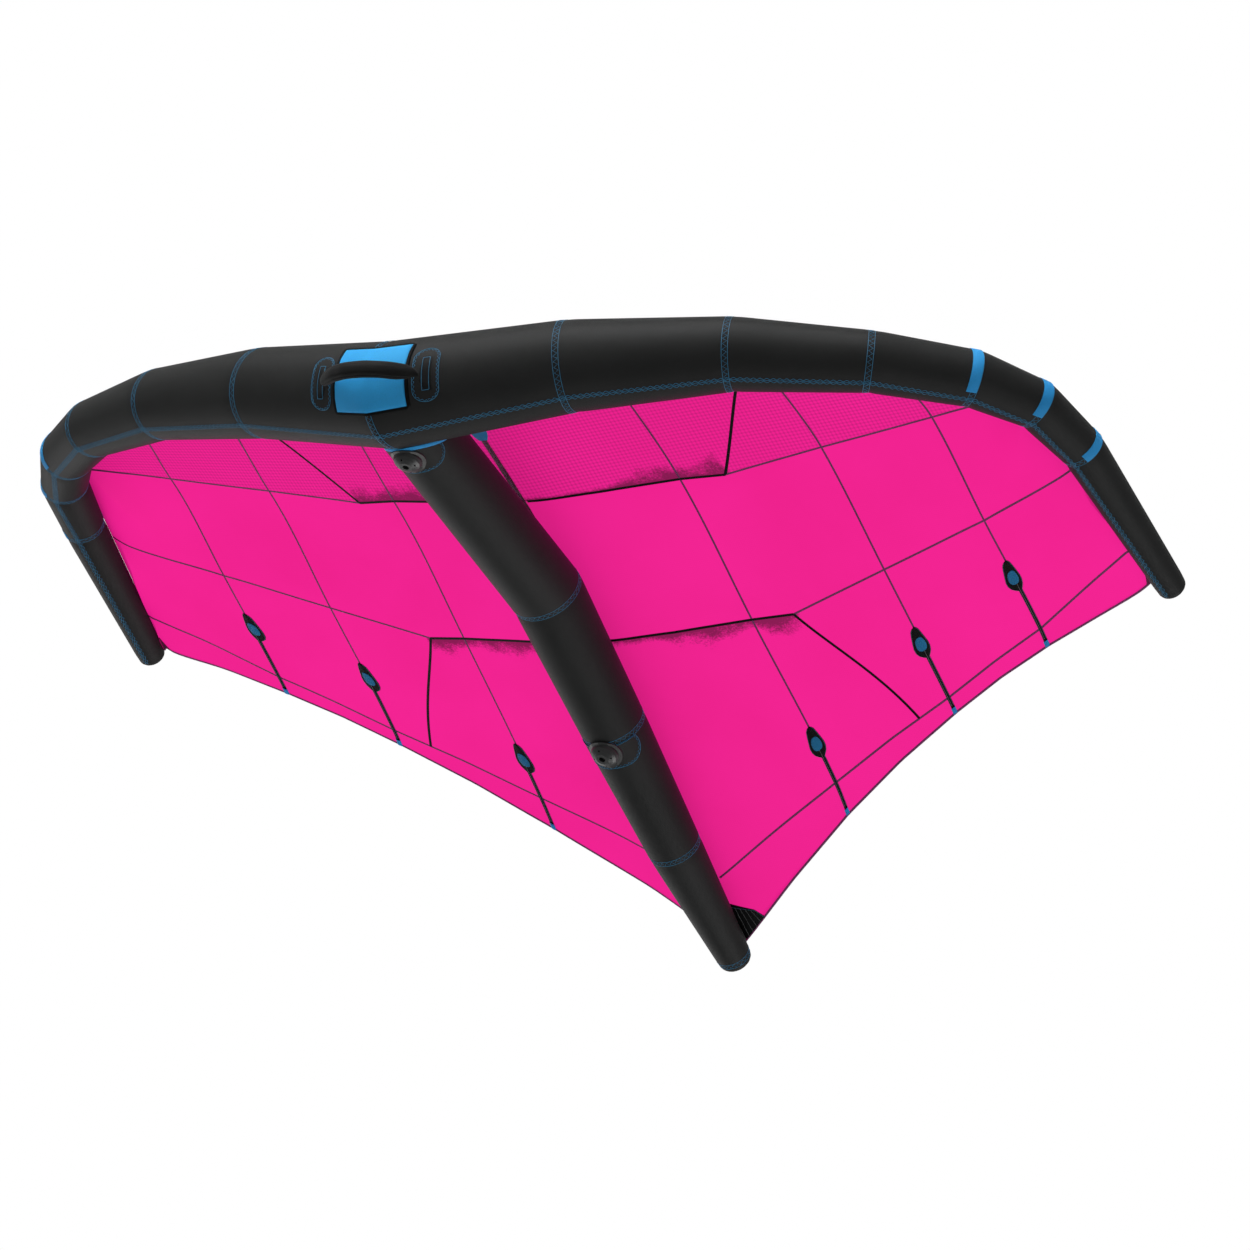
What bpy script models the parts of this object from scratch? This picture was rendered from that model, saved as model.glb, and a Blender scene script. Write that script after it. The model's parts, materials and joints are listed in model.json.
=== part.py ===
"""Inflatable hand wing for foil boards, built as an assembly of sewn and moulded parts."""
import math

import bmesh
import bpy
from mathutils import Matrix, Vector

# Driving dimensions in metres. Everything else is a share of these.
TIP_OUT = 1.454            # middle of the wing to the last tube ring, sideways
TIP_BACK = 1.115           # the same ring, how far it is swept back
TIP_UP = 0.450             # the same ring, how far it is raised
TUBE_RADIUS = 0.126        # leading edge tube at the middle
STRUT_REACH = 1.997        # leading edge axis to the last ring of the strut
STRUT_RISE = 0.1726        # height of the strut's second ring above the leading edge axis
STRUT_RADIUS = 0.0907      # thickest radius of the strut
CANOPY_RISE = 0.4180       # height of the canopy at the outer batten's trailing edge
CLOTH_WALL = 0.0015        # tube cloth
CANOPY_WALL = 0.0012       # canopy cloth
BLADDER_WALL = 0.0008      # film of the air bladders
GAP = 0.0003               # clearance between parts that touch
CANOPY_LIFT = 0.0006       # canopy's lower face above the round of the tube
BAND_WIDTH = 0.024         # blue bands over the outer ring seams
BAND_INSET = 0.002         # from the ring seam to the near edge of its band
BAND_WALL = 0.0010
COLLAR_WIDTH = 0.012       # blue binding where the strut meets the leading edge
COLLAR_WALL = 0.0012
BATTEN_WIDTH = 0.013       # batten sleeve
BATTEN_WALL = 0.0016
DROP_LENGTH = 0.096        # drop-shaped head of a batten sleeve
DROP_WIDTH = 0.052
BASE_RADIUS = 0.043        # moulded base for a rigid handle
BASE_RIM = 0.0035          # edge of the base where it meets the cloth
BASE_HEIGHT = 0.0205       # top of the base above the strut cloth
BASE_TOP_RADIUS = 0.0155
SOCKET_RADIUS = 0.0080
SOCKET_DEPTH = 0.0090
SCREW_HOLE_RADIUS = 0.0024
SCREW_HOLE_DEPTH = 0.0080
SCREW_CIRCLE_RADIUS = 0.0240
BASE_FRONT_REACH = 0.1295  # along the strut, from the leading edge axis
BASE_REAR_REACH = 1.2230   # straight back, from the leading edge axis
PATCH_LENGTH = 0.100       # sewn patch below a base, along the strut
PATCH_WALL = 0.0010
PAD_WIDTH = 0.180          # knuckle pad below the grip
PAD_WALL = 0.0060
GRIP_SPAN = 0.270          # between the feet of the front grip
GRIP_LIFT = 0.072          # middle of the grip above its feet
GRIP_RADIUS = 0.0185
GRIP_FOOT_RADIUS = 0.0100
FOOT_PATCH_WIDTH = 0.062
FOOT_PATCH_WALL = 0.0016
TAPE_WIDTH = 0.040         # blue tab on the middle seam of the canopy
CORNER_PATCH_REACH = 0.150
CORNER_PATCH_WALL = 0.0014
VALVE_RADIUS = 0.0290
VALVE_HEIGHT = 0.0120
VALVE_BORE_RADIUS = 0.0180
PLUG_RADIUS = 0.0250
PLUG_HEIGHT = 0.0090
END_CAP_WALL = 0.0020

SIDES = 24

# Leading edge rings, middle to tip, as shares of the driving dimensions.
RING_OUT_SHARES = (0.0, 0.2947, 0.5488, 0.7483, 0.8741, 0.9409, 0.9697, 1.0)
RING_BACK_SHARES = (0.0, 0.0323, 0.0960, 0.1964, 0.3179, 0.4350, 0.5883, 1.0)
RING_UP_SHARES = (0.0, 0.2193, 0.4044, 0.5622, 0.7356, 0.8444, 0.9200, 1.0)
RING_RADIUS_SHARES = (1.0, 0.8603, 0.6905, 0.5730, 0.5317, 0.4683, 0.4159, 0.2849)
# Angle round the tube where the canopy leaves it: 0 is back, 90 down, 180 front, 270 up.
LEAVE_ANGLES = (242.0, 242.0, 243.0, 250.0, 263.0, 282.0, 304.0, 325.0)
# Strut rings, front to end.
STRUT_BACK_SHARES = (0.0, 0.3876, 0.6029, 0.8057, 1.0)
STRUT_UP_SHARES = (-0.0562, 1.0, 0.9647, 0.9345, 1.0)
STRUT_RADIUS_SHARES = (0.9700, 1.0, 0.9008, 0.7486, 0.4796)


def clear_scene():
    for item in list(bpy.data.objects):
        bpy.data.objects.remove(item, do_unlink=True)
    for group in list(bpy.data.collections):
        bpy.data.collections.remove(group)


clear_scene()
WING = bpy.data.collections.new("wing")
bpy.context.scene.collection.children.link(WING)
CUTTERS = bpy.data.collections.new("cutters")
bpy.context.scene.collection.children.link(CUTTERS)


def material(name, colour, roughness, metallic=0.0, alpha=1.0):
    made = bpy.data.materials.new(name)
    made.use_nodes = True
    shader = made.node_tree.nodes["Principled BSDF"]
    shader.inputs["Base Color"].default_value = (*colour, 1.0)
    shader.inputs["Roughness"].default_value = roughness
    shader.inputs["Metallic"].default_value = metallic
    shader.inputs["Alpha"].default_value = alpha
    made.diffuse_color = (*colour, 1.0)
    return made


TUBE_CLOTH = material("tube_cloth", (0.040, 0.042, 0.042), 0.62)
BLUE_TAPE = material("blue_tape", (0.040, 0.290, 0.620), 0.55)
CANOPY_CLOTH = material("canopy_cloth", (0.900, 0.015, 0.270), 0.50)
POCKET_CLOTH = material("pocket_cloth", (0.012, 0.013, 0.015), 0.70)
PAD_FOAM = material("pad_foam", (0.060, 0.300, 0.620), 0.60)
GRIP_FOAM = material("grip_foam", (0.022, 0.022, 0.022), 0.65)
MOULDING = material("moulding", (0.025, 0.026, 0.027), 0.42)
BLADDER_FILM = material("bladder_film", (0.720, 0.740, 0.730), 0.35)
VALVE_PLASTIC = material("valve_plastic", (0.030, 0.030, 0.032), 0.35)


def finish_mesh(name, mesh, stuff, smooth=True, group=None):
    """Link the mesh as one named object of one material."""
    made = bpy.data.objects.new(name, mesh)
    (group or WING).objects.link(made)
    mesh.materials.clear()
    mesh.materials.append(stuff)
    for face in mesh.polygons:
        face.use_smooth = smooth
    if smooth:
        mesh.set_sharp_from_angle(angle=math.radians(38.0))
    return made


def bmesh_to_mesh(name, work):
    bmesh.ops.remove_doubles(work, verts=work.verts, dist=GAP * 0.05)
    bmesh.ops.recalc_face_normals(work, faces=work.faces)
    if work.calc_volume(signed=True) < 0:
        bmesh.ops.reverse_faces(work, faces=work.faces)
    mesh = bpy.data.meshes.new(name)
    work.to_mesh(mesh)
    work.free()
    mesh.validate()
    return mesh


def skin(name, outer, inner, wrap, close_start=True, close_end=True):
    """Closed solid between two lattices of points that have the same rows and columns."""
    work = bmesh.new()
    outer_verts = [[work.verts.new(point) for point in row] for row in outer]
    inner_verts = [[work.verts.new(point) for point in row] for row in inner]
    rows = len(outer)
    columns = len(outer[0])
    steps = columns if wrap else columns - 1

    def triangle(first, second, third):
        if len({first, second, third}) == 3:
            work.faces.new((first, second, third))

    for row in range(rows - 1):
        for step in range(steps):
            after = (step + 1) % columns
            for lattice in (outer_verts, inner_verts):
                triangle(lattice[row][step], lattice[row][after], lattice[row + 1][after])
                triangle(lattice[row][step], lattice[row + 1][after], lattice[row + 1][step])
    for row, wanted in ((0, close_start), (rows - 1, close_end)):
        if wanted:
            for step in range(steps):
                after = (step + 1) % columns
                work.faces.new((outer_verts[row][step], outer_verts[row][after],
                                inner_verts[row][after], inner_verts[row][step]))
    if not wrap:
        for column in (0, columns - 1):
            for row in range(rows - 1):
                work.faces.new((outer_verts[row][column], outer_verts[row + 1][column],
                                inner_verts[row + 1][column], inner_verts[row][column]))
    bmesh.ops.remove_doubles(work, verts=work.verts, dist=GAP * 0.05)
    bmesh.ops.dissolve_degenerate(work, edges=work.edges, dist=GAP * 0.01)
    return bmesh_to_mesh(name, work)


class Tube:
    """A chain of straight tapering lengths with mitred joints, as a sewn tube has."""

    def __init__(self, points, radii, back, end_normals=(None, None)):
        self.points = points
        self.radii = radii
        self.ways = [(after - here).normalized() for here, after in zip(points, points[1:])]
        first = self.ways[0]
        across = (back - first * back.dot(first)).normalized()
        down = across.cross(first)
        self.frames = [(across, down)]
        for here, after in zip(self.ways, self.ways[1:]):
            turn = here.rotation_difference(after)
            across = turn @ across
            down = turn @ down
            self.frames.append((across, down))
        self.normals = []
        for index in range(len(points)):
            if index == 0:
                normal = end_normals[0] or self.ways[0]
            elif index == len(points) - 1:
                normal = end_normals[1] or self.ways[-1]
            else:
                normal = (self.ways[index - 1] + self.ways[index]).normalized()
            self.normals.append(normal)

    def at(self, place, angle, lift=0.0, shift=0.0):
        """Point at ring number place (may be between rings), angle in degrees."""
        turn = math.radians(angle)
        whole = min(int(place), len(self.ways) - 1)
        share = place - whole

        def on_ring(index):
            way = self.ways[min(whole, len(self.ways) - 1)]
            across, down = self.frames[whole]
            out = across * math.cos(turn) + down * math.sin(turn)
            reach = out * (self.radii[index] + lift)
            normal = self.normals[index]
            return self.points[index] + reach - way * (reach.dot(normal) / way.dot(normal))

        if share == 0.0:
            spot = on_ring(whole)
        elif share == 1.0:
            spot = on_ring(whole + 1)
        else:
            spot = on_ring(whole).lerp(on_ring(whole + 1), share)
        if shift:
            spot = spot + self.shift_way(place) * shift
        return spot

    def shift_way(self, place):
        if place == int(place):
            return self.normals[int(place)]
        return self.ways[int(place)]

    def outward(self, place, angle):
        turn = math.radians(angle)
        across, down = self.frames[min(int(place), len(self.ways) - 1)]
        return across * math.cos(turn) + down * math.sin(turn)

    def round_way(self, place, angle):
        """Direction in which the angle grows, on the cloth."""
        turn = math.radians(angle)
        across, down = self.frames[min(int(place), len(self.ways) - 1)]
        return down * math.cos(turn) - across * math.sin(turn)

    def length(self, index):
        return (self.points[index + 1] - self.points[index]).length

    def ring(self, place, lift=0.0, shift=0.0):
        return [self.at(place, step * 360.0 / SIDES, lift, shift) for step in range(SIDES)]

    def axis_point(self, place):
        whole = min(int(place), len(self.ways) - 1)
        return self.points[whole].lerp(self.points[whole + 1], place - whole)


def mirrored(points):
    return [Vector((-point.x, point.y, point.z)) for point in points]


RING_POINTS = [Vector((TIP_OUT * out, TIP_BACK * back, TIP_UP * up))
               for out, back, up in zip(RING_OUT_SHARES, RING_BACK_SHARES, RING_UP_SHARES)]
RING_RADII = [TUBE_RADIUS * share for share in RING_RADIUS_SHARES]
MIDDLE_NORMAL = Vector((1, 0, 0))
EDGE = Tube(RING_POINTS, RING_RADII, Vector((0, 1, 0)), (MIDDLE_NORMAL, None))
STRUT_POINTS = [Vector((0, STRUT_REACH * back, STRUT_RISE * up))
                for back, up in zip(STRUT_BACK_SHARES, STRUT_UP_SHARES)]
STRUT = Tube(STRUT_POINTS, [STRUT_RADIUS * share for share in STRUT_RADIUS_SHARES],
             Vector((-1, 0, 0)))


def flip(lattice, side):
    if side > 0:
        return lattice
    return [mirrored(row) for row in lattice]


SIDE_NAMES = ((1, "right"), (-1, "left"))


def tube_panels(tube, base_name, count, sides=((1, ""),)):
    made = []
    for side, side_name in sides:
        for index in range(count):
            near = GAP / 2
            outer = [tube.ring(index, 0, near), tube.ring(index + 1, 0, 0)]
            inner = [tube.ring(index, -CLOTH_WALL, near), tube.ring(index + 1, -CLOTH_WALL, 0)]
            outer[1] = end_ring(tube, index, 0.0, -near)
            inner[1] = end_ring(tube, index, -CLOTH_WALL, -near)
            label = "_".join(part for part in (base_name, side_name, str(index + 1)) if part)
            mesh = skin(label, flip(outer, side), flip(inner, side), True)
            made.append(finish_mesh(label, mesh, TUBE_CLOTH))
    return made


def end_ring(tube, index, lift, shift):
    """Ring at the far end of length number index, in that length's own frame."""
    ring = []
    for step in range(SIDES):
        turn = math.radians(step * 360.0 / SIDES)
        across, down = tube.frames[index]
        way = tube.ways[index]
        reach = (across * math.cos(turn) + down * math.sin(turn)) * (tube.radii[index + 1] + lift)
        normal = tube.normals[index + 1]
        spot = tube.points[index + 1] + reach - way * (reach.dot(normal) / way.dot(normal))
        ring.append(spot + normal * shift)
    return ring


# Leading edge tube: seven lengths on each side of the middle seam.
EDGE_COUNT = len(RING_POINTS) - 1
tube_panels(EDGE, "edge_panel", EDGE_COUNT, SIDE_NAMES)

CAP_ANGLES = (0.0, 22.0, 45.0, 68.0, 90.0)
CAP_DEPTH_SHARE = 0.62


def end_cap(name, tube, side):
    """Rounded cloth cap on the last ring of a tube."""
    last = len(tube.points) - 1
    way = tube.ways[-1]
    radius = tube.radii[-1]
    outer = []
    inner = []
    for lattice, size, back in ((outer, radius, 0.0), (inner, radius - END_CAP_WALL, 0.0)):
        for angle in CAP_ANGLES:
            turn = math.radians(angle)
            reach = size * math.cos(turn)
            depth = size * CAP_DEPTH_SHARE * math.sin(turn)
            row = []
            for step in range(SIDES):
                out = tube.outward(last, step * 360.0 / SIDES)
                row.append(tube.points[-1] + way * (GAP / 2 + depth) + out * reach)
            lattice.append(row)
    mesh = skin(name, flip(outer, side), flip(inner, side), True, True, False)
    return finish_mesh(name, mesh, TUBE_CLOTH)


for side, side_name in SIDE_NAMES:
    end_cap("edge_cap_" + side_name, EDGE, side)

# Blue bands beside ring seams four, five and six, on the side nearer the middle. They stop short
# of the closing seam below.
BAND_START = 100.0
BAND_STOP_BEFORE = 6.0
for side, side_name in SIDE_NAMES:
    for ring_number in (4, 5, 6):
        stop = LEAVE_ANGLES[ring_number] - BAND_STOP_BEFORE
        angles = [BAND_START] + [15.0 * step for step in range(7, int(stop // 15) + 1)] + [stop]
        before = EDGE.length(ring_number - 1)
        places = (ring_number - (BAND_INSET + BAND_WIDTH) / before, ring_number - BAND_INSET / before)
        lattices = []
        for lift in (GAP + BAND_WALL, GAP):
            lattices.append([[EDGE.at(place, angle, lift) for angle in angles]
                             for place in places])
        label = "seam_band_" + side_name + "_" + str(ring_number)
        mesh = skin(label, flip(lattices[0], side), flip(lattices[1], side), False)
        finish_mesh(label, mesh, BLUE_TAPE)


def edge_cutter(name, lift):
    """Closed body of the two middle lengths of the leading edge, grown by lift."""
    far = end_ring(EDGE, 0, lift, 0.0)
    middle = EDGE.ring(0, lift)
    rings = [mirrored(far), middle, far]
    work = bmesh.new()
    rows = [[work.verts.new(point) for point in ring] for ring in rings]
    for row, after in zip(rows, rows[1:]):
        for step in range(SIDES):
            beyond = (step + 1) % SIDES
            work.faces.new((row[step], row[beyond], after[beyond], after[step]))
    work.faces.new(rows[0])
    work.faces.new(rows[-1])
    made = finish_mesh(name, bmesh_to_mesh(name, work), TUBE_CLOTH, False, CUTTERS)
    made.hide_render = True
    made.display_type = "WIRE"
    return made


def apply_boolean(target, cutter, operation):
    cut = target.modifiers.new("cut", "BOOLEAN")
    cut.operation = operation
    cut.solver = "EXACT"
    cut.object = cutter


EDGE_CUTTER = edge_cutter("edge_cutter", GAP)
COLLAR_CUTTER = edge_cutter("collar_cutter", GAP + COLLAR_WIDTH)

# Strut: four lengths, the first one shaped to the leading edge.
STRUT_COUNT = len(STRUT_POINTS) - 1
strut_panels = tube_panels(STRUT, "strut_panel", STRUT_COUNT)
apply_boolean(strut_panels[0], EDGE_CUTTER, "DIFFERENCE")
end_cap("strut_end_cap", STRUT, 1)

collar_places = (0.0, 0.35)
collar_outer = [STRUT.ring(place, GAP + COLLAR_WALL) for place in collar_places]
collar_inner = [STRUT.ring(place, GAP) for place in collar_places]
collar_mesh = skin("strut_collar", collar_outer, collar_inner, True)
collar = finish_mesh("strut_collar", collar_mesh, BLUE_TAPE)
apply_boolean(collar, COLLAR_CUTTER, "INTERSECT")
apply_boolean(collar, EDGE_CUTTER, "DIFFERENCE")


def bladder(name, tube, places_closed, side_points):
    """Open-ended film tube inside the cloth tube."""
    lift = -CLOTH_WALL - GAP
    outer = [ring(lift) for ring in side_points]
    inner = [ring(lift - BLADDER_WALL) for ring in side_points]
    mesh = skin(name, outer, inner, True)
    return finish_mesh(name, mesh, BLADDER_FILM)


def edge_ring_maker(number, side):
    def make(lift):
        ring = end_ring(EDGE, number - 1, lift, 0.0) if number else EDGE.ring(0, lift)
        return mirrored(ring) if side < 0 else ring
    return make


edge_rings = [edge_ring_maker(number, -1) for number in range(EDGE_COUNT, 0, -1)]
edge_rings += [edge_ring_maker(number, 1) for number in range(0, EDGE_COUNT + 1)]
bladder("edge_bladder", EDGE, None, edge_rings)


def strut_ring_maker(place):
    def make(lift):
        return STRUT.ring(place, lift)
    return make


STRUT_BLADDER_START = 0.22
bladder("strut_bladder", STRUT, None,
        [strut_ring_maker(place) for place in (STRUT_BLADDER_START, 1, 2, 3)]
        + [lambda lift: end_ring(STRUT, STRUT_COUNT - 1, lift, 0.0)])

# Canopy. Each seam line is set at the same columns: middle, then battens and half ways.
# Columns 0 2 4 6 lie on the middle and on the three batten lines.
TE_OUT = 1.430
TE_BACK = 2.002
ATTACH_PLACES = (0.0, 0.5, 1.0, 1.3, 2.0, 2.5, 3.0, 4.0, 4.1, 4.5, 5.0, 5.5, 6.0, 6.13, 6.72, 6.96)
A_OUT_SHARES = (0.0, 0.1410, 0.2818, 0.3601, 0.5441, 0.6470, 0.7497, 0.8497)
A_BACK_SHARES = (0.2742, 0.2815, 0.2837, 0.2897, 0.2722, 0.2645, 0.2562, 0.2113)
A_UP_SHARES = (0.6005, 0.6840, 0.7524, 0.7967, 0.8708, 0.9180, 0.9641, 0.9474)
B_OUT_SHARES = (0.0, 0.1430, 0.2860, 0.3608, 0.5497, 0.6520, 0.7538, 0.8182, 0.8427, 0.8692,
                0.8937, 0.9182, 0.9420)
B_BACK_SHARES = (0.5025, 0.5090, 0.5090, 0.5117, 0.4675, 0.4440, 0.4201, 0.4004, 0.3929, 0.3848,
                 0.3773, 0.3698, 0.3625)
B_UP_SHARES = (0.6100, 0.6870, 0.7524, 0.7919, 0.8804, 0.9320, 0.9809, 0.9904, 0.9952, 1.0000,
               1.0060, 1.0144, 1.0311)
C_OUT_SHARES = (0.0, 0.1479, 0.2958, 0.4255, 0.5552, 0.6580, 0.7608, 0.8238, 0.8483, 0.8741,
                0.8986, 0.9231, 0.9455, 0.9636)
C_BACK_SHARES = (0.8956, 0.8354, 0.7752, 0.7230, 0.6753, 0.6340, 0.5964, 0.5664, 0.5548, 0.5426,
                 0.5309, 0.5193, 0.5086, 0.5000)
C_UP_SHARES = (0.5694, 0.6600, 0.7392, 0.8180, 0.8876, 0.9480, 1.0072, 1.0307, 1.0435, 1.0543,
               1.0591, 1.0623, 1.0638, 1.0714)
TE_OUT_SHARES = (0.0, 0.1479, 0.2958, 0.4262, 0.5566, 0.6587, 0.7608, 0.8287, 0.8531, 0.8790,
                 0.9035, 0.9280, 0.9510, 0.9685, 0.9825)
TE_BACK_SHARES = (1.0, 0.9090, 0.8227, 0.7565, 0.6988, 0.6580, 0.6231, 0.6035, 0.5964, 0.5887,
                  0.5806, 0.5719, 0.5632, 0.5559, 0.5502)
TE_UP_SHARES = (0.5191, 0.6270, 0.7129, 0.7990, 0.8804, 0.9420, 1.0000, 1.0408, 1.0556, 1.0683,
                1.0731, 1.0731, 1.0727, 1.0750, 1.0893)


def line_points(out_shares, back_shares, up_shares):
    return [Vector((TE_OUT * out, TE_BACK * back, CANOPY_RISE * up))
            for out, back, up in zip(out_shares, back_shares, up_shares)]


def leave_angle(place):
    whole = min(int(place), len(LEAVE_ANGLES) - 2)
    share = place - whole
    return LEAVE_ANGLES[whole] * (1 - share) + LEAVE_ANGLES[whole + 1] * share


def attach_point(column):
    place = ATTACH_PLACES[column]
    return EDGE.at(place, leave_angle(place), CANOPY_LIFT)


def attach_way(column):
    """Direction in which a column leaves the tube; the middle one stays in the middle."""
    place = ATTACH_PLACES[column]
    way = EDGE.round_way(place, leave_angle(place))
    if column == 0:
        way = Vector((0, way.y, way.z)).normalized()
    return way


def strut_top(back):
    """Point on the top of the strut's cloth at a distance back."""
    tops = [STRUT.at(number, 270.0, GAP) for number in range(STRUT_COUNT)]
    tops.append(end_ring(STRUT, STRUT_COUNT - 1, GAP, 0.0)[SIDES * 3 // 4])
    for here, after in zip(tops, tops[1:]):
        if back <= after.y or after is tops[-1]:
            share = (back - here.y) / (after.y - here.y)
            return here.lerp(after, share)
    return tops[-1]


LINES = {
    "A": line_points(A_OUT_SHARES, A_BACK_SHARES, A_UP_SHARES),
    "B": line_points(B_OUT_SHARES, B_BACK_SHARES, B_UP_SHARES),
    "C": line_points(C_OUT_SHARES, C_BACK_SHARES, C_UP_SHARES),
    "TE": line_points(TE_OUT_SHARES, TE_BACK_SHARES, TE_UP_SHARES),
}
for line_name in ("B", "C", "TE"):
    LINES[line_name][0] = strut_top(LINES[line_name][0].y)
for line_name in ("A", "B", "C", "TE"):
    end_column = len(LINES[line_name])
    LINES[line_name].append(attach_point(end_column))

LINE_ORDER = ("A", "B", "C", "TE")
PANEL_NAMES = ("front", "middle", "rear", "trailing")
KNEE_SHARE = 0.62


def column_points(column):
    """Points of a column where it starts on the tube and crosses each seam line."""
    points = [attach_point(column)]
    names = ["tube"]
    for line_name in LINE_ORDER:
        line = LINES[line_name]
        if column < len(line) - 1:
            points.append(line[column])
            names.append(line_name)
    return names, points


def column_curve(column):
    """Hermite pieces of a column, keyed by the seam line that ends each piece."""
    names, points = column_points(column)
    tangents = []
    for index, point in enumerate(points):
        if index == 0:
            span = (points[1] - points[0]).length if len(points) > 1 else GAP
            tangents.append(attach_way(column) * span)
        elif index == len(points) - 1:
            tangents.append(point - points[index - 1])
        else:
            before = (point - points[index - 1])
            after = (points[index + 1] - point)
            way = (before.normalized() + after.normalized()).normalized()
            tangents.append(way)
    pieces = {}
    for index in range(len(points) - 1):
        span = (points[index + 1] - points[index]).length
        start_way = tangents[index].normalized() * span
        end_way = tangents[index + 1].normalized() * span
        pieces[names[index + 1]] = (points[index], start_way, points[index + 1], end_way)
    return pieces


def hermite(piece, share):
    start, start_way, end, end_way = piece
    square = share * share
    cube = square * share
    return (start * (2 * cube - 3 * square + 1) + start_way * (cube - 2 * square + share)
            + end * (3 * square - 2 * cube) + end_way * (cube - square))


FRONT_ROW_SHARES = (0.0, 0.04, 0.11, 0.21, 0.34, 0.50, 0.66, 0.82, 1.0)


def strut_ring_share(first, last, number):
    return (STRUT.at(number, 270.0, GAP).y - first) / (last - first)


MIDDLE_B = LINES["B"][0].y
MIDDLE_A = LINES["A"][0].y
MIDDLE_C = LINES["C"][0].y
RING_1_SHARE = strut_ring_share(MIDDLE_A, MIDDLE_B, 1)
RING_2_SHARE = strut_ring_share(MIDDLE_B, MIDDLE_C, 2)
RING_3_SHARE = strut_ring_share(MIDDLE_B, MIDDLE_C, 3)
ROW_SHARES = {
    "A": FRONT_ROW_SHARES,
    "B": (0.0, 0.24, RING_1_SHARE, 0.75, 1.0),
    "C": (0.0, RING_2_SHARE, 0.5, RING_3_SHARE, 1.0),
    "TE": (0.0, 0.5, 1.0),
}
CURVES = [column_curve(column) for column in range(len(ATTACH_PLACES))]


def panel_lattice(line_name):
    """Lower face of the canopy panel that ends at a seam line, rows front to back."""
    line = LINES[line_name]
    shares = ROW_SHARES[line_name]
    previous = LINE_ORDER.index(line_name) - 1
    rows = []
    for share in shares:
        row = []
        for column in range(len(line)):
            if column == len(line) - 1:
                row.append(line[column].copy())
                continue
            row.append(hermite(CURVES[column][line_name], share))
        rows.append(row)
    if line_name != "A":
        for number, row in enumerate(rows):
            back = MIDDLE_AT[line_name][0] + (MIDDLE_AT[line_name][1] - MIDDLE_AT[line_name][0]) * shares[number]
            top = strut_top(back)
            if row[0].z < top.z or line_name in ("C", "TE") or shares[number] >= RING_1_SHARE:
                row[0] = top
    return rows


MIDDLE_AT = {
    "A": (0.0, MIDDLE_A),
    "B": (MIDDLE_A, MIDDLE_B),
    "C": (MIDDLE_B, MIDDLE_C),
    "TE": (MIDDLE_C, LINES["TE"][0].y),
}
LATTICES = {line_name: panel_lattice(line_name) for line_name in LINE_ORDER}


def lattice_normals(rows):
    """Upward normals of a lattice of points."""
    result = []
    for number, row in enumerate(rows):
        out = []
        for column in range(len(row)):
            ahead = rows[min(number + 1, len(rows) - 1)][column]
            behind = rows[max(number - 1, 0)][column]
            right = row[min(column + 1, len(row) - 1)]
            left = row[max(column - 1, 0)]
            normal = (right - left).cross(ahead - behind)
            if normal.length < GAP * GAP:
                normal = Vector((0, 0, 1))
            if column == 0:
                normal.x = 0
            normal.normalize()
            if normal.z < 0:
                normal = -normal
            out.append(normal)
        result.append(out)
    return result


def trimmed(rows, line_name):
    """Pull the panel's borders in by half a gap along the columns and off the middle."""
    result = [list(row) for row in rows]
    half = GAP / 2
    for column in range(len(rows[0])):
        for number, step in ((0, 1), (len(rows) - 1, -1)):
            if number == 0 and (line_name == "A" or column >= len(LINES[PREVIOUS[line_name]]) - 1):
                continue
            if number and line_name == "TE":
                continue
            way = rows[number + step][column] - rows[number][column]
            if way.length > half:
                result[number][column] = rows[number][column] + way.normalized() * half
    for row in result:
        row[0] = row[0] + Vector((half, 0, 0))
    return result


PREVIOUS = {"B": "A", "C": "B", "TE": "C"}
END_PULL = 0.004
for line_name, panel_name in zip(LINE_ORDER, PANEL_NAMES):
    rows = trimmed(LATTICES[line_name], line_name)
    # The last column is the point where two seams meet on the tube: end it in a short edge.
    before = [row[-2] for row in rows]
    for number, row in enumerate(rows):
        corner = row[-1]
        way = before[number] - corner
        row[-1] = corner + way.normalized() * (END_PULL * number / (len(rows) - 1) + GAP)
    normals = lattice_normals(rows)
    upper = [[point + normal * CANOPY_WALL for point, normal in zip(row, ways)]
             for row, ways in zip(rows, normals)]
    for side, side_name in SIDE_NAMES:
        label = "canopy_" + panel_name + "_" + side_name
        mesh = skin(label, flip(upper, side), flip(rows, side), False)
        finish_mesh(label, mesh, CANOPY_CLOTH)


def on_canopy(line_name, row_place, column_place):
    """Point on the lower face of a canopy panel, on the same facets as the panel."""
    rows = LATTICES[line_name]
    row = min(int(row_place), len(rows) - 2)
    column = min(int(column_place), len(rows[0]) - 2)
    down = row_place - row
    across = column_place - column
    first = rows[row][column]
    right = rows[row][column + 1]
    back = rows[row + 1][column]
    far = rows[row + 1][column + 1]
    if across >= down:
        return first + (right - first) * across + (far - right) * down
    return first + (back - first) * down + (far - back) * across


def column_stops(column, line_names):
    """Distances from the trailing edge of every lattice row, with the row's address."""
    stops = []
    for line_name in line_names:
        for number, row in enumerate(LATTICES[line_name]):
            stops.append((row[column], line_name, number))
    return stops


def along_column(column, reach):
    """Panel name and row place at a distance forward of the trailing edge."""
    walked = 0.0
    for line_name in ("TE", "C"):
        rows = LATTICES[line_name]
        for number in range(len(rows) - 1, 0, -1):
            step = (rows[number][column] - rows[number - 1][column]).length
            if walked + step >= reach:
                return line_name, number - (reach - walked) / step
            walked += step
    return "C", 0.0


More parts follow.
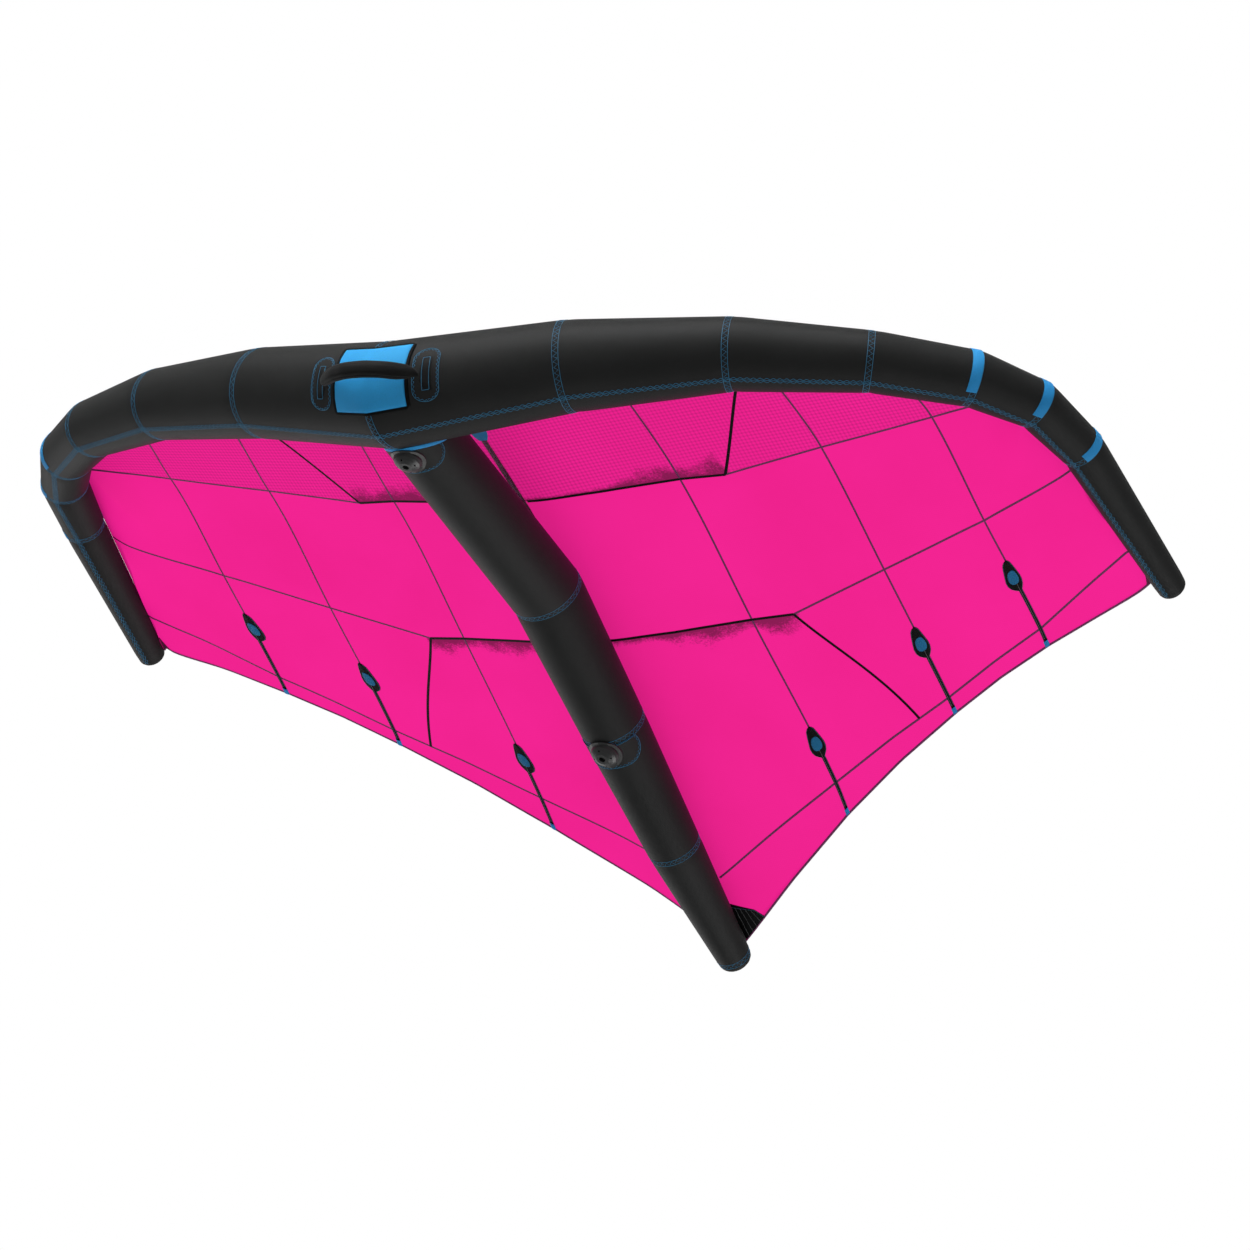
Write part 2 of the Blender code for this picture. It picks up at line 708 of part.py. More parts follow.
def row_reaches(column, longest):
    """Distances forward of the trailing edge at which the panel rows lie."""
    reaches = []
    walked = 0.0
    for line_name in ("TE", "C"):
        rows = LATTICES[line_name]
        for number in range(len(rows) - 1, 0, -1):
            walked += (rows[number][column] - rows[number - 1][column]).length
            if walked < longest:
                reaches.append(walked)
    return reaches


BATTEN_LENGTH = 0.276      # whole sleeve with its head
BATTEN_END = 0.001         # end of the sleeve to the trailing edge
DROP_REACH_SHARES = (0.0, 0.05, 0.14, 0.28, 0.45, 0.65, 0.84, 1.0)
DROP_WIDTH_SHARES = (0.20, 0.52, 0.80, 0.97, 1.00, 0.80, 0.46, 0.25)


def half_width_at(reach):
    """Half width of a batten sleeve at a distance forward of the trailing edge."""
    from_tip = (BATTEN_LENGTH - reach) / DROP_LENGTH
    if from_tip >= 1.0:
        return BATTEN_WIDTH / 2
    for number in range(1, len(DROP_REACH_SHARES)):
        if from_tip <= DROP_REACH_SHARES[number]:
            low = DROP_REACH_SHARES[number - 1]
            share = (from_tip - low) / (DROP_REACH_SHARES[number] - low)
            wide = DROP_WIDTH_SHARES[number - 1] * (1 - share) + DROP_WIDTH_SHARES[number] * share
            return DROP_WIDTH / 2 * wide
    return BATTEN_WIDTH / 2


def below(point, drop):
    return point - Vector((0, 0, drop))


for column, number in ((2, 1), (4, 2), (6, 3)):
    reaches = [BATTEN_END] + row_reaches(column, BATTEN_LENGTH - GAP)
    reaches += [BATTEN_LENGTH - DROP_LENGTH * share for share in DROP_REACH_SHARES]
    reaches = sorted(set(reaches))
    upper = []
    lower = []
    for reach in reaches:
        line_name, row_place = along_column(column, reach)
        rows = LATTICES[line_name]
        row = min(int(row_place), len(rows) - 2)
        here = rows[row][column]
        wide = half_width_at(reach)
        left_share = wide / (here - rows[row][column - 1]).length
        right_share = wide / (rows[row][column + 1] - here).length
        points = [on_canopy(line_name, row_place, column - left_share),
                  on_canopy(line_name, row_place, column),
                  on_canopy(line_name, row_place, column + right_share)]
        upper.append([below(point, GAP) for point in points])
        lower.append([below(point, GAP + BATTEN_WALL) for point in points])
    for side, side_name in SIDE_NAMES:
        label = "batten_sleeve_" + side_name + "_" + str(number)
        mesh = skin(label, flip(upper, side), flip(lower, side), False)
        finish_mesh(label, mesh, POCKET_CLOTH)

# Blue tab on the canopy's middle seam, just behind the tube.
TAB_ROWS = (2.4, 3.0, 4.0, 4.25)
TAB_SHARES = (1.0, 1.0, 0.9, 0.55)
upper = []
lower = []
for row_place, share in zip(TAB_ROWS, TAB_SHARES):
    middle = on_canopy("A", row_place, 0)
    beside = on_canopy("A", row_place, 1)
    across = TAPE_WIDTH / 2 * share / (beside - middle).length
    edge_point = on_canopy("A", row_place, across)
    points = [mirrored([edge_point])[0], middle, edge_point]
    upper.append([below(point, GAP) for point in points])
    lower.append([below(point, GAP + BATTEN_WALL) for point in points])
finish_mesh("middle_tab", skin("middle_tab", upper, lower, False), BLUE_TAPE)

# Stiff corner patches beside the strut's end: the canopy's own facets, trimmed to an outline.
CORNER_OUT_SHARES = (0.20, 0.20, 0.53, 0.66, 0.66)
CORNER_FORE_SHARES = (-0.60, 0.95, 0.75, 0.53, -0.60)


def corner_patch(side, side_name):
    label = "corner_patch_" + side_name
    rows = LATTICES["TE"]
    upper = [[below(point, GAP) for point in row[:4]] for row in rows]
    lower = [[below(point, GAP + CORNER_PATCH_WALL) for point in row[:4]] for row in rows]
    patch = finish_mesh(label, skin(label, flip(upper, side), flip(lower, side), False),
                        POCKET_CLOTH)
    work = bmesh.new()
    deep = CANOPY_RISE
    rings = []
    for height in (0.0, deep):
        ring = []
        for out, fore in zip(CORNER_OUT_SHARES, CORNER_FORE_SHARES):
            spot = Vector((CORNER_PATCH_REACH * out * side,
                           TE_BACK - CORNER_PATCH_REACH * fore, height))
            ring.append(work.verts.new(spot))
        rings.append(ring)
    count = len(CORNER_OUT_SHARES)
    for step in range(count):
        beyond = (step + 1) % count
        work.faces.new((rings[0][step], rings[0][beyond], rings[1][beyond], rings[1][step]))
    work.faces.new(rings[0])
    work.faces.new(rings[1])
    cutter = finish_mesh(label + "_outline", bmesh_to_mesh(label + "_outline", work),
                         POCKET_CLOTH, False, CUTTERS)
    cutter.hide_render = True
    cutter.display_type = "WIRE"
    apply_boolean(patch, cutter, "INTERSECT")


for side, side_name in SIDE_NAMES:
    corner_patch(side, side_name)


def strut_body(name, lift):
    """Closed body of the strut's first two lengths, grown by lift, for cutting."""
    rings = [STRUT.ring(0, lift), STRUT.ring(1, lift), STRUT.ring(2, lift),
             end_ring(STRUT, 2, lift, 0.0)]
    work = bmesh.new()
    rows = [[work.verts.new(point) for point in ring] for ring in rings]
    for row, after in zip(rows, rows[1:]):
        for step in range(SIDES):
            beyond = (step + 1) % SIDES
            work.faces.new((row[step], row[beyond], after[beyond], after[step]))
    work.faces.new(rows[0])
    work.faces.new(rows[-1])
    made = finish_mesh(name, bmesh_to_mesh(name, work), TUBE_CLOTH, False, CUTTERS)
    made.hide_render = True
    made.display_type = "WIRE"
    return made


def place_for_reach(reach_back):
    """Ring place on the strut for a point of its axis at a distance back."""
    for index, (here, after) in enumerate(zip(STRUT_POINTS, STRUT_POINTS[1:])):
        if reach_back <= after.y:
            return index + (reach_back - here.y) / (after.y - here.y)
    return len(STRUT_POINTS) - 1


def turned(name, profile, stuff, steps, frame, group=None):
    """Solid of revolution about the frame's own Z, the profile running down its outer side."""
    work = bmesh.new()
    points = [work.verts.new((radius, 0, height)) for radius, height in profile]
    for here, after in zip(points, points[1:]):
        work.edges.new((here, after))
    mesh = bpy.data.meshes.new(name)
    work.to_mesh(mesh)
    work.free()
    made = bpy.data.objects.new(name, mesh)
    (group or WING).objects.link(made)
    mesh.materials.append(stuff)
    spin = made.modifiers.new("turn", "SCREW")
    spin.axis = "Z"
    spin.steps = steps
    spin.render_steps = steps
    spin.use_merge_vertices = True
    spin.merge_threshold = 0.00001
    spin.use_smooth_shade = True
    made.matrix_world = frame
    if group is CUTTERS:
        made.hide_render = True
        made.display_type = "WIRE"
    return made


def frame_at(point, up_way, side_way):
    """Matrix at a point with Z along up_way and X as near side_way as it can be."""
    z_way = up_way.normalized()
    x_way = (side_way - z_way * side_way.dot(z_way)).normalized()
    y_way = z_way.cross(x_way)
    turn = Matrix((x_way, y_way, z_way)).transposed().to_4x4()
    return Matrix.Translation(point) @ turn


PATCH_ANGLE = 62.0
PATCH_ANGLES = (-62.0, -60.0, -55.0, -45.0, -30.0, -15.0, 0.0, 15.0, 30.0, 45.0, 55.0, 60.0, 62.0)
PATCH_LENGTH_SHARES = (0.42, 0.62, 0.80, 0.95, 1.0, 1.0, 1.0, 1.0, 1.0, 0.95, 0.80, 0.62, 0.42)
STRUT_BODY = strut_body("strut_body", GAP + PATCH_WALL + GAP)
FLANGE_BODY = strut_body("flange_body", GAP + PATCH_WALL + GAP + BASE_RIM)
PATCH_CUTTER = edge_cutter("patch_cutter", GAP + COLLAR_WIDTH + GAP)


def handle_base(name, patch_name, place, cut_patch):
    """Moulded base on its sewn patch below the strut."""
    index = int(place)
    length = STRUT.length(index)
    outer = []
    inner = []
    for row_share in (-0.5, -0.25, 0.0, 0.25, 0.5):
        for lattice, lift in ((outer, GAP + PATCH_WALL), (inner, GAP)):
            row = []
            for angle, share in zip(PATCH_ANGLES, PATCH_LENGTH_SHARES):
                here = place + row_share * share * PATCH_LENGTH / length
                row.append(STRUT.at(here, 90.0 + angle, lift))
            lattice.append(row)
    patch = finish_mesh(patch_name, skin(patch_name, outer, inner, False), POCKET_CLOTH)
    if cut_patch:
        apply_boolean(patch, PATCH_CUTTER, "DIFFERENCE")
    across, down = STRUT.frames[index]
    way = STRUT.ways[index]
    foot = STRUT.at(place, 90.0)
    frame = frame_at(foot, down, across)
    top = BASE_HEIGHT
    dome = ((0, top), (BASE_TOP_RADIUS, top), (BASE_TOP_RADIUS * 1.12, top * 0.965),
            (BASE_RADIUS * 0.60, top * 0.78), (BASE_RADIUS * 0.74, top * 0.50),
            (BASE_RADIUS * 0.82, top * 0.14), (BASE_RADIUS * 0.82, -top), (0, -top))
    base = turned(name, dome, MOULDING, 32, frame)
    flange_profile = ((0, top * 0.5), (BASE_RADIUS, top * 0.5), (BASE_RADIUS, -top), (0, -top))
    flange = turned(name + "_flange", flange_profile, MOULDING, 32, frame, CUTTERS)
    apply_boolean(flange, FLANGE_BODY, "INTERSECT")
    socket_profile = ((0, top * 1.5), (SOCKET_RADIUS, top * 1.5),
                      (SOCKET_RADIUS, top - SOCKET_DEPTH), (0, top - SOCKET_DEPTH))
    socket = turned(name + "_socket", socket_profile, MOULDING, 24, frame, CUTTERS)
    apply_boolean(base, flange, "UNION")
    apply_boolean(base, STRUT_BODY, "DIFFERENCE")
    apply_boolean(base, socket, "DIFFERENCE")
    hole_profile = ((0, top * 1.5), (SCREW_HOLE_RADIUS, top * 1.5),
                    (SCREW_HOLE_RADIUS, top - SCREW_HOLE_DEPTH * 1.4),
                    (0, top - SCREW_HOLE_DEPTH * 1.4))
    for number in range(4):
        turn = math.radians(90.0 * number)
        spot = Vector((SCREW_CIRCLE_RADIUS * math.cos(turn), SCREW_CIRCLE_RADIUS * math.sin(turn), 0))
        hole_frame = frame @ Matrix.Translation(spot)
        hole = turned(name + "_hole_" + str(number), hole_profile, MOULDING, 12, hole_frame, CUTTERS)
        apply_boolean(base, hole, "DIFFERENCE")
    return frame @ Vector((0, 0, top - SOCKET_DEPTH)), down, way


FRONT_AXIS_BACK = STRUT_POINTS[0].y + BASE_FRONT_REACH * STRUT.ways[0].y
FRONT_SOCKET, FRONT_DOWN, FRONT_WAY = handle_base(
    "front_handle_base", "front_base_patch", place_for_reach(FRONT_AXIS_BACK), True)
REAR_SOCKET, REAR_DOWN, REAR_WAY = handle_base(
    "rear_handle_base", "rear_base_patch", place_for_reach(BASE_REAR_REACH), False)

# Front grip over its knuckle pad, in front of the middle of the leading edge.
FIRST_OUT = RING_POINTS[1].x
PAD_ANGLES = (111.0, 120.0, 135.0, 150.0, 165.0, 180.0, 187.0)
pad_place = PAD_WIDTH / 2 / FIRST_OUT
outer = []
inner = []
for side, place in ((-1, pad_place), (1, 0.0), (1, pad_place)):
    for lattice, lift in ((outer, GAP + PAD_WALL), (inner, GAP)):
        row = [EDGE.at(place, angle, lift) for angle in PAD_ANGLES]
        lattice.append(mirrored(row) if side < 0 else row)
finish_mesh("knuckle_pad", skin("knuckle_pad", outer, inner, False), PAD_FOAM)

FOOT_ANGLE = 142.0
FOOT_PATCH_ANGLES = (112.0, 115.0, 120.0, 128.0, 135.0, FOOT_ANGLE, 150.0, 160.0, 168.0, 173.0,
                     176.0)
FOOT_PATCH_SHARES = (0.40, 0.66, 0.88, 0.99, 1.0, 1.0, 1.0, 0.99, 0.88, 0.66, 0.40)
foot_place = GRIP_SPAN / 2 / FIRST_OUT
outer = []
inner = []
for row_share in (-0.5, 0.0, 0.5):
    for lattice, lift in ((outer, GAP + FOOT_PATCH_WALL), (inner, GAP)):
        lattice.append([EDGE.at(foot_place + row_share * share * FOOT_PATCH_WIDTH / FIRST_OUT,
                                angle, lift)
                        for angle, share in zip(FOOT_PATCH_ANGLES, FOOT_PATCH_SHARES)])
for side, side_name in SIDE_NAMES:
    label = "grip_patch_" + side_name
    finish_mesh(label, skin(label, flip(outer, side), flip(inner, side), False), POCKET_CLOTH)

FOOT_LIFT = GAP + FOOT_PATCH_WALL + GAP + GRIP_FOOT_RADIUS
# Way that the grip stands off from the tube, a little above its feet, in a flat arch.
GRIP_ANGLE = 146.0
GRIP_OUT_SHARES = (1.0, 0.965, 0.88, 0.75, 0.56, 0.30, 0.0)
GRIP_LIFT_SHARES = (0.0, 0.150, 0.310, 0.500, 0.730, 0.925, 1.0)
FOOT_SIZE_SHARE = GRIP_FOOT_RADIUS / GRIP_RADIUS
GRIP_SIZE_SHARES = (FOOT_SIZE_SHARE, 0.72, 0.88, 1.0, 1.0, 1.0, 1.0)
BALL_ANGLES = (86.0, 60.0, 30.0)
FOOT_POINT = EDGE.at(foot_place, FOOT_ANGLE, FOOT_LIFT)
GRIP_AXIS = Vector((0, FOOT_POINT.y, FOOT_POINT.z))
grip_out = EDGE.outward(0, GRIP_ANGLE)
GRIP_RISE = Vector((0, grip_out.y, grip_out.z)).normalized() * GRIP_LIFT


def grip_path():
    half = []
    for out, lift, size in zip(GRIP_OUT_SHARES, GRIP_LIFT_SHARES, GRIP_SIZE_SHARES):
        spot = Vector((FOOT_POINT.x * out, 0, 0))
        half.append((spot + GRIP_RISE * lift, size))
    inward = -GRIP_RISE.normalized()
    ball = []
    for angle in BALL_ANGLES:
        turn = math.radians(angle)
        spot = half[0][0] + inward * GRIP_FOOT_RADIUS * math.sin(turn)
        ball.append((spot, FOOT_SIZE_SHARE * math.cos(turn)))
    half = ball + half
    other = [(Vector((-spot.x, spot.y, spot.z)), size) for spot, size in half[:-1]]
    return half + other[::-1]


def curve_solid(name, path, radius, stuff, origin):
    data = bpy.data.curves.new(name + "_path", "CURVE")
    data.dimensions = "3D"
    data.bevel_depth = radius
    data.bevel_resolution = 4
    data.use_fill_caps = True
    spline = data.splines.new("POLY")
    spline.points.add(len(path) - 1)
    for point, (spot, size) in zip(spline.points, path):
        point.co = (*spot, 1.0)
        point.radius = size
    carrier = bpy.data.objects.new(name + "_path", data)
    CUTTERS.objects.link(carrier)
    bpy.context.view_layer.update()
    mesh = bpy.data.meshes.new_from_object(carrier)
    bpy.data.objects.remove(carrier, do_unlink=True)
    work = bmesh.new()
    work.from_mesh(mesh)
    bpy.data.meshes.remove(mesh)
    made = finish_mesh(name, bmesh_to_mesh(name, work), stuff)
    made.location = origin
    return made


grip = curve_solid("front_grip", grip_path(), GRIP_RADIUS, GRIP_FOAM, GRIP_AXIS)

# Inflation valve on the back of the left middle length.
VALVE_PLACE = 0.45
VALVE_ANGLE = 340.0
valve_point = EDGE.at(VALVE_PLACE, VALVE_ANGLE)
valve_way = EDGE.outward(VALVE_PLACE, VALVE_ANGLE)
valve_point = Vector((-valve_point.x, valve_point.y, valve_point.z))
valve_way = Vector((-valve_way.x, valve_way.y, valve_way.z))
VALVE_FRAME = frame_at(valve_point, valve_way, Vector((0, 0, 1)))
base_profile = ((0, VALVE_HEIGHT), (VALVE_RADIUS * 0.93, VALVE_HEIGHT),
                (VALVE_RADIUS, VALVE_HEIGHT * 0.80), (VALVE_RADIUS, -VALVE_HEIGHT),
                (0, -VALVE_HEIGHT))
valve_base = turned("valve_base", base_profile, VALVE_PLASTIC, 32, VALVE_FRAME)
bore_profile = ((0, VALVE_HEIGHT * 2), (VALVE_BORE_RADIUS, VALVE_HEIGHT * 2),
                (VALVE_BORE_RADIUS, -VALVE_HEIGHT * 2), (0, -VALVE_HEIGHT * 2))
valve_bore = turned("valve_bore", bore_profile, VALVE_PLASTIC, 32, VALVE_FRAME, CUTTERS)
apply_boolean(valve_base, EDGE_CUTTER, "DIFFERENCE")
apply_boolean(valve_base, valve_bore, "DIFFERENCE")
STEM_RADIUS = VALVE_BORE_RADIUS - GAP * 2
plug_bottom = VALVE_HEIGHT + GAP
plug_profile = ((0, plug_bottom + PLUG_HEIGHT), (PLUG_RADIUS * 0.88, plug_bottom + PLUG_HEIGHT),
                (PLUG_RADIUS, plug_bottom + PLUG_HEIGHT * 0.7), (PLUG_RADIUS, plug_bottom),
                (STEM_RADIUS, plug_bottom), (STEM_RADIUS, plug_bottom - PLUG_HEIGHT * 0.8),
                (0, plug_bottom - PLUG_HEIGHT * 0.8))
valve_plug = turned("valve_plug", plug_profile, VALVE_PLASTIC, 32, VALVE_FRAME)
bar_work = bmesh.new()
bmesh.ops.create_cube(bar_work, size=1.0)
bmesh.ops.scale(bar_work, verts=bar_work.verts,
                vec=(PLUG_RADIUS * 1.5, PLUG_RADIUS * 0.28, PLUG_HEIGHT))
bmesh.ops.translate(bar_work, verts=bar_work.verts, vec=(0, 0, plug_bottom + PLUG_HEIGHT))
bar = finish_mesh("plug_bar", bmesh_to_mesh("plug_bar", bar_work), VALVE_PLASTIC, False, CUTTERS)
bar.hide_render = True
bar.display_type = "WIRE"
bar.matrix_world = VALVE_FRAME
apply_boolean(valve_plug, bar, "UNION")

# The frame's origin is the floor of the front base's socket.
holder = bpy.data.objects.new("wing_frame", None)
WING.objects.link(holder)
for item in list(WING.objects) + list(CUTTERS.objects):
    if item is not holder:
        item.parent = holder
holder.location = -FRONT_SOCKET
bpy.context.view_layer.update()
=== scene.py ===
"""Looks of the hand wing: cloth tubes, canopy, seams, stitches, foam and moulded bases."""
import json
import math

import bmesh
import bpy
from mathutils import Matrix, Vector
from mathutils.bvhtree import BVHTree

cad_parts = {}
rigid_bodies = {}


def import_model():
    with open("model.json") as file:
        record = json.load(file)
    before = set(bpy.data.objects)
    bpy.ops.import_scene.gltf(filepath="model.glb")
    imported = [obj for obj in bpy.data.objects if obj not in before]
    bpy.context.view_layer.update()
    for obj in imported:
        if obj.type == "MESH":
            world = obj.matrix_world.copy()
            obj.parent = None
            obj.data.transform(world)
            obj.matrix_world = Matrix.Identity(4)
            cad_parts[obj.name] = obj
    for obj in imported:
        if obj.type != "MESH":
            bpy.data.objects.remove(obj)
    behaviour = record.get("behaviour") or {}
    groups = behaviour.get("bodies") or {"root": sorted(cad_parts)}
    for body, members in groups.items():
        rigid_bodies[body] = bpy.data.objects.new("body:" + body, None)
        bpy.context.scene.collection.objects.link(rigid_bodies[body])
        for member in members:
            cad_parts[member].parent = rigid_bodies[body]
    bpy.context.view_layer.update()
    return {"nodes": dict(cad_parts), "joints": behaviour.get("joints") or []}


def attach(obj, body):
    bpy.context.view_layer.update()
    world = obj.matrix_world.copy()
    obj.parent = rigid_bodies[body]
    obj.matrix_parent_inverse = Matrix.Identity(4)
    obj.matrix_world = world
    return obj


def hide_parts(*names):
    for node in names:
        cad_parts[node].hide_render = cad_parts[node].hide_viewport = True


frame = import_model()

# Driving sizes in metres, the same as the frame was built from.
TIP_OUT = 1.454
TIP_BACK = 1.115
TIP_UP = 0.450
TUBE_RADIUS = 0.126
STRUT_REACH = 1.997
STRUT_RISE = 0.1726
STRUT_RADIUS = 0.0907
CANOPY_RISE = 0.4180
TE_OUT = 1.430
TE_BACK = 2.002
GAP = 0.0003
CANOPY_LIFT = 0.0012
CANOPY_THICK = 0.0010
CLOTH_WALL = 0.0015
GRIP_SPAN = 0.270
FOOT_ANGLE = 142.0
FOOT_LIFT = 0.0122

RING_OUT_SHARES = (0.0, 0.2947, 0.5488, 0.7483, 0.8741, 0.9409, 0.9697, 1.0)
RING_BACK_SHARES = (0.0, 0.0323, 0.0960, 0.1964, 0.3179, 0.4350, 0.5883, 1.0)
RING_UP_SHARES = (0.0, 0.2193, 0.4044, 0.5622, 0.7356, 0.8444, 0.9200, 1.0)
RING_RADIUS_SHARES = (1.0, 0.8603, 0.6905, 0.5730, 0.5317, 0.4683, 0.4159, 0.2849)
# Angle round the tube where the canopy leaves it: 0 is back, 90 down, 180 front, 270 up.
LEAVE_ANGLES = (242.0, 242.0, 243.0, 250.0, 263.0, 282.0, 304.0, 325.0)
# Angle of the closing seam below the tube, ring by ring.
CLOSE_ANGLES = (79.0, 85.0, 85.5, 85.0, 80.0, 72.0, 64.0, 66.0)
STRUT_BACK_SHARES = (0.0, 0.3876, 0.6029, 0.8057, 1.0)
STRUT_UP_SHARES = (-0.0562, 1.0, 0.9647, 0.9345, 1.0)
STRUT_RADIUS_SHARES = (0.9700, 1.0, 0.9008, 0.7486, 0.4796)
ATTACH_PLACES = (0.0, 0.5, 1.0, 1.3, 2.0, 2.5, 3.0, 4.1, 4.95, 5.1, 5.3, 5.6, 6.0, 6.13, 6.72, 6.99)
A_OUT_SHARES = (0.0, 0.1410, 0.2818, 0.3601, 0.5441, 0.6470, 0.7497, 0.8497)
A_BACK_SHARES = (0.2742, 0.2815, 0.2837, 0.2897, 0.2722, 0.2645, 0.2562, 0.2476)
A_UP_SHARES = (0.6005, 0.6840, 0.7524, 0.7967, 0.8708, 0.9180, 0.9641, 1.0072)
B_OUT_SHARES = (0.0, 0.1430, 0.2860, 0.3608, 0.5497, 0.6520, 0.7538, 0.8182, 0.8427, 0.8692,
                0.8937, 0.9182, 0.9420)
B_BACK_SHARES = (0.5025, 0.5090, 0.5090, 0.5117, 0.4675, 0.4440, 0.4201, 0.4004, 0.3929, 0.3848,
                 0.3773, 0.3698, 0.3625)
B_UP_SHARES = (0.6100, 0.6870, 0.7524, 0.7919, 0.8804, 0.9320, 0.9809, 0.9904, 0.9952, 1.0000,
               1.0060, 1.0144, 1.0311)
C_OUT_SHARES = (0.0, 0.1479, 0.2958, 0.4255, 0.5552, 0.6580, 0.7608, 0.8238, 0.8483, 0.8741,
                0.8986, 0.9231, 0.9455, 0.9636)
C_BACK_SHARES = (0.8956, 0.8354, 0.7752, 0.7230, 0.6753, 0.6340, 0.5964, 0.5664, 0.5548, 0.5426,
                 0.5309, 0.5193, 0.5086, 0.5000)
C_UP_SHARES = (0.5694, 0.6600, 0.7392, 0.8180, 0.8876, 0.9480, 1.0072, 1.0307, 1.0435, 1.0543,
               1.0591, 1.0623, 1.0638, 1.0714)
TE_OUT_SHARES = (0.0, 0.1479, 0.2958, 0.4262, 0.5566, 0.6587, 0.7608, 0.8287, 0.8531, 0.8790,
                 0.9035, 0.9280, 0.9510, 0.9685, 0.9825)
TE_BACK_SHARES = (1.0, 0.9090, 0.8227, 0.7565, 0.6988, 0.6580, 0.6231, 0.6035, 0.5964, 0.5887,
                  0.5806, 0.5719, 0.5632, 0.5559, 0.5502)
TE_UP_SHARES = (0.5191, 0.6270, 0.7129, 0.7990, 0.8804, 0.9420, 1.0000, 1.0408, 1.0556, 1.0683,
                1.0731, 1.0731, 1.0727, 1.0750, 1.0893)

WING = "wing"
GRIP = "grip"
SIDE_NAMES = ((1, "right"), (-1, "left"))


class Tube:
    """A chain of straight tapering lengths with mitred joints, as a sewn tube has."""

    def __init__(self, points, radii, back, start_normal=None):
        self.points = points
        self.radii = radii
        self.ways = [(after - here).normalized() for here, after in zip(points, points[1:])]
        first = self.ways[0]
        across = (back - first * back.dot(first)).normalized()
        down = across.cross(first)
        self.frames = [(across, down)]
        for here, after in zip(self.ways, self.ways[1:]):
            turn = here.rotation_difference(after)
            across = turn @ across
            down = turn @ down
            self.frames.append((across, down))
        self.normals = [start_normal or self.ways[0]]
        for here, after in zip(self.ways, self.ways[1:]):
            self.normals.append((here + after).normalized())
        self.normals.append(self.ways[-1])

    def whole(self, place):
        return min(max(int(place), 0), len(self.ways) - 1)

    def ring_spot(self, index, number, angle, lift):
        """Point on ring number, drawn in the frame of length index."""
        turn = math.radians(angle)
        across, down = self.frames[index]
        way = self.ways[index]
        normal = self.normals[number]
        reach = (across * math.cos(turn) + down * math.sin(turn)) * (self.radii[number] + lift)
        return self.points[number] + reach - way * (reach.dot(normal) / way.dot(normal))

    def at(self, place, angle, lift=0.0):
        index = self.whole(place)
        share = place - index
        here = self.ring_spot(index, index, angle, lift)
        after = self.ring_spot(index, index + 1, angle, lift)
        return here.lerp(after, share)

    def outward(self, place, angle):
        turn = math.radians(angle)
        across, down = self.frames[self.whole(place)]
        return across * math.cos(turn) + down * math.sin(turn)

    def round_way(self, place, angle):
        """Direction in which the angle grows, on the cloth."""
        turn = math.radians(angle)
        across, down = self.frames[self.whole(place)]
        return down * math.cos(turn) - across * math.sin(turn)

    def length(self, index):
        return (self.points[index + 1] - self.points[index]).length

    def radius(self, place):
        index = self.whole(place)
        share = place - index
        return self.radii[index] * (1 - share) + self.radii[index + 1] * share


def shares_to_points(out_shares, back_shares, up_shares, out, back, up):
    return [Vector((out * x, back * y, up * z))
            for x, y, z in zip(out_shares, back_shares, up_shares)]


RING_POINTS = shares_to_points(RING_OUT_SHARES, RING_BACK_SHARES, RING_UP_SHARES,
                               TIP_OUT, TIP_BACK, TIP_UP)
EDGE = Tube(RING_POINTS, [TUBE_RADIUS * share for share in RING_RADIUS_SHARES],
            Vector((0, 1, 0)), Vector((1, 0, 0)))
STRUT_POINTS = [Vector((0, STRUT_REACH * back, STRUT_RISE * up))
                for back, up in zip(STRUT_BACK_SHARES, STRUT_UP_SHARES)]
STRUT = Tube(STRUT_POINTS, [STRUT_RADIUS * share for share in STRUT_RADIUS_SHARES],
             Vector((-1, 0, 0)))
# The grip's feet lie on its hinge, which places the leading edge's middle in the record's frame.
foot_spot = EDGE.at(GRIP_SPAN / 2 / RING_POINTS[1].x, FOOT_ANGLE, FOOT_LIFT)
hinge_spot = next(joint for joint in frame["joints"] if joint["child"] == GRIP)["pos_m"]
ORIGIN = Vector((0.0, hinge_spot[1] - foot_spot.y, hinge_spot[2] - foot_spot.z))
EDGE_COUNT = len(RING_POINTS) - 1
STRUT_COUNT = len(STRUT_POINTS) - 1


def between(table, place):
    """Value of a table at a place between its entries."""
    index = min(max(int(place), 0), len(table) - 2)
    share = place - index
    return table[index] * (1 - share) + table[index + 1] * share


def sided(point, side):
    return Vector((point.x * side, point.y, point.z))


# Materials


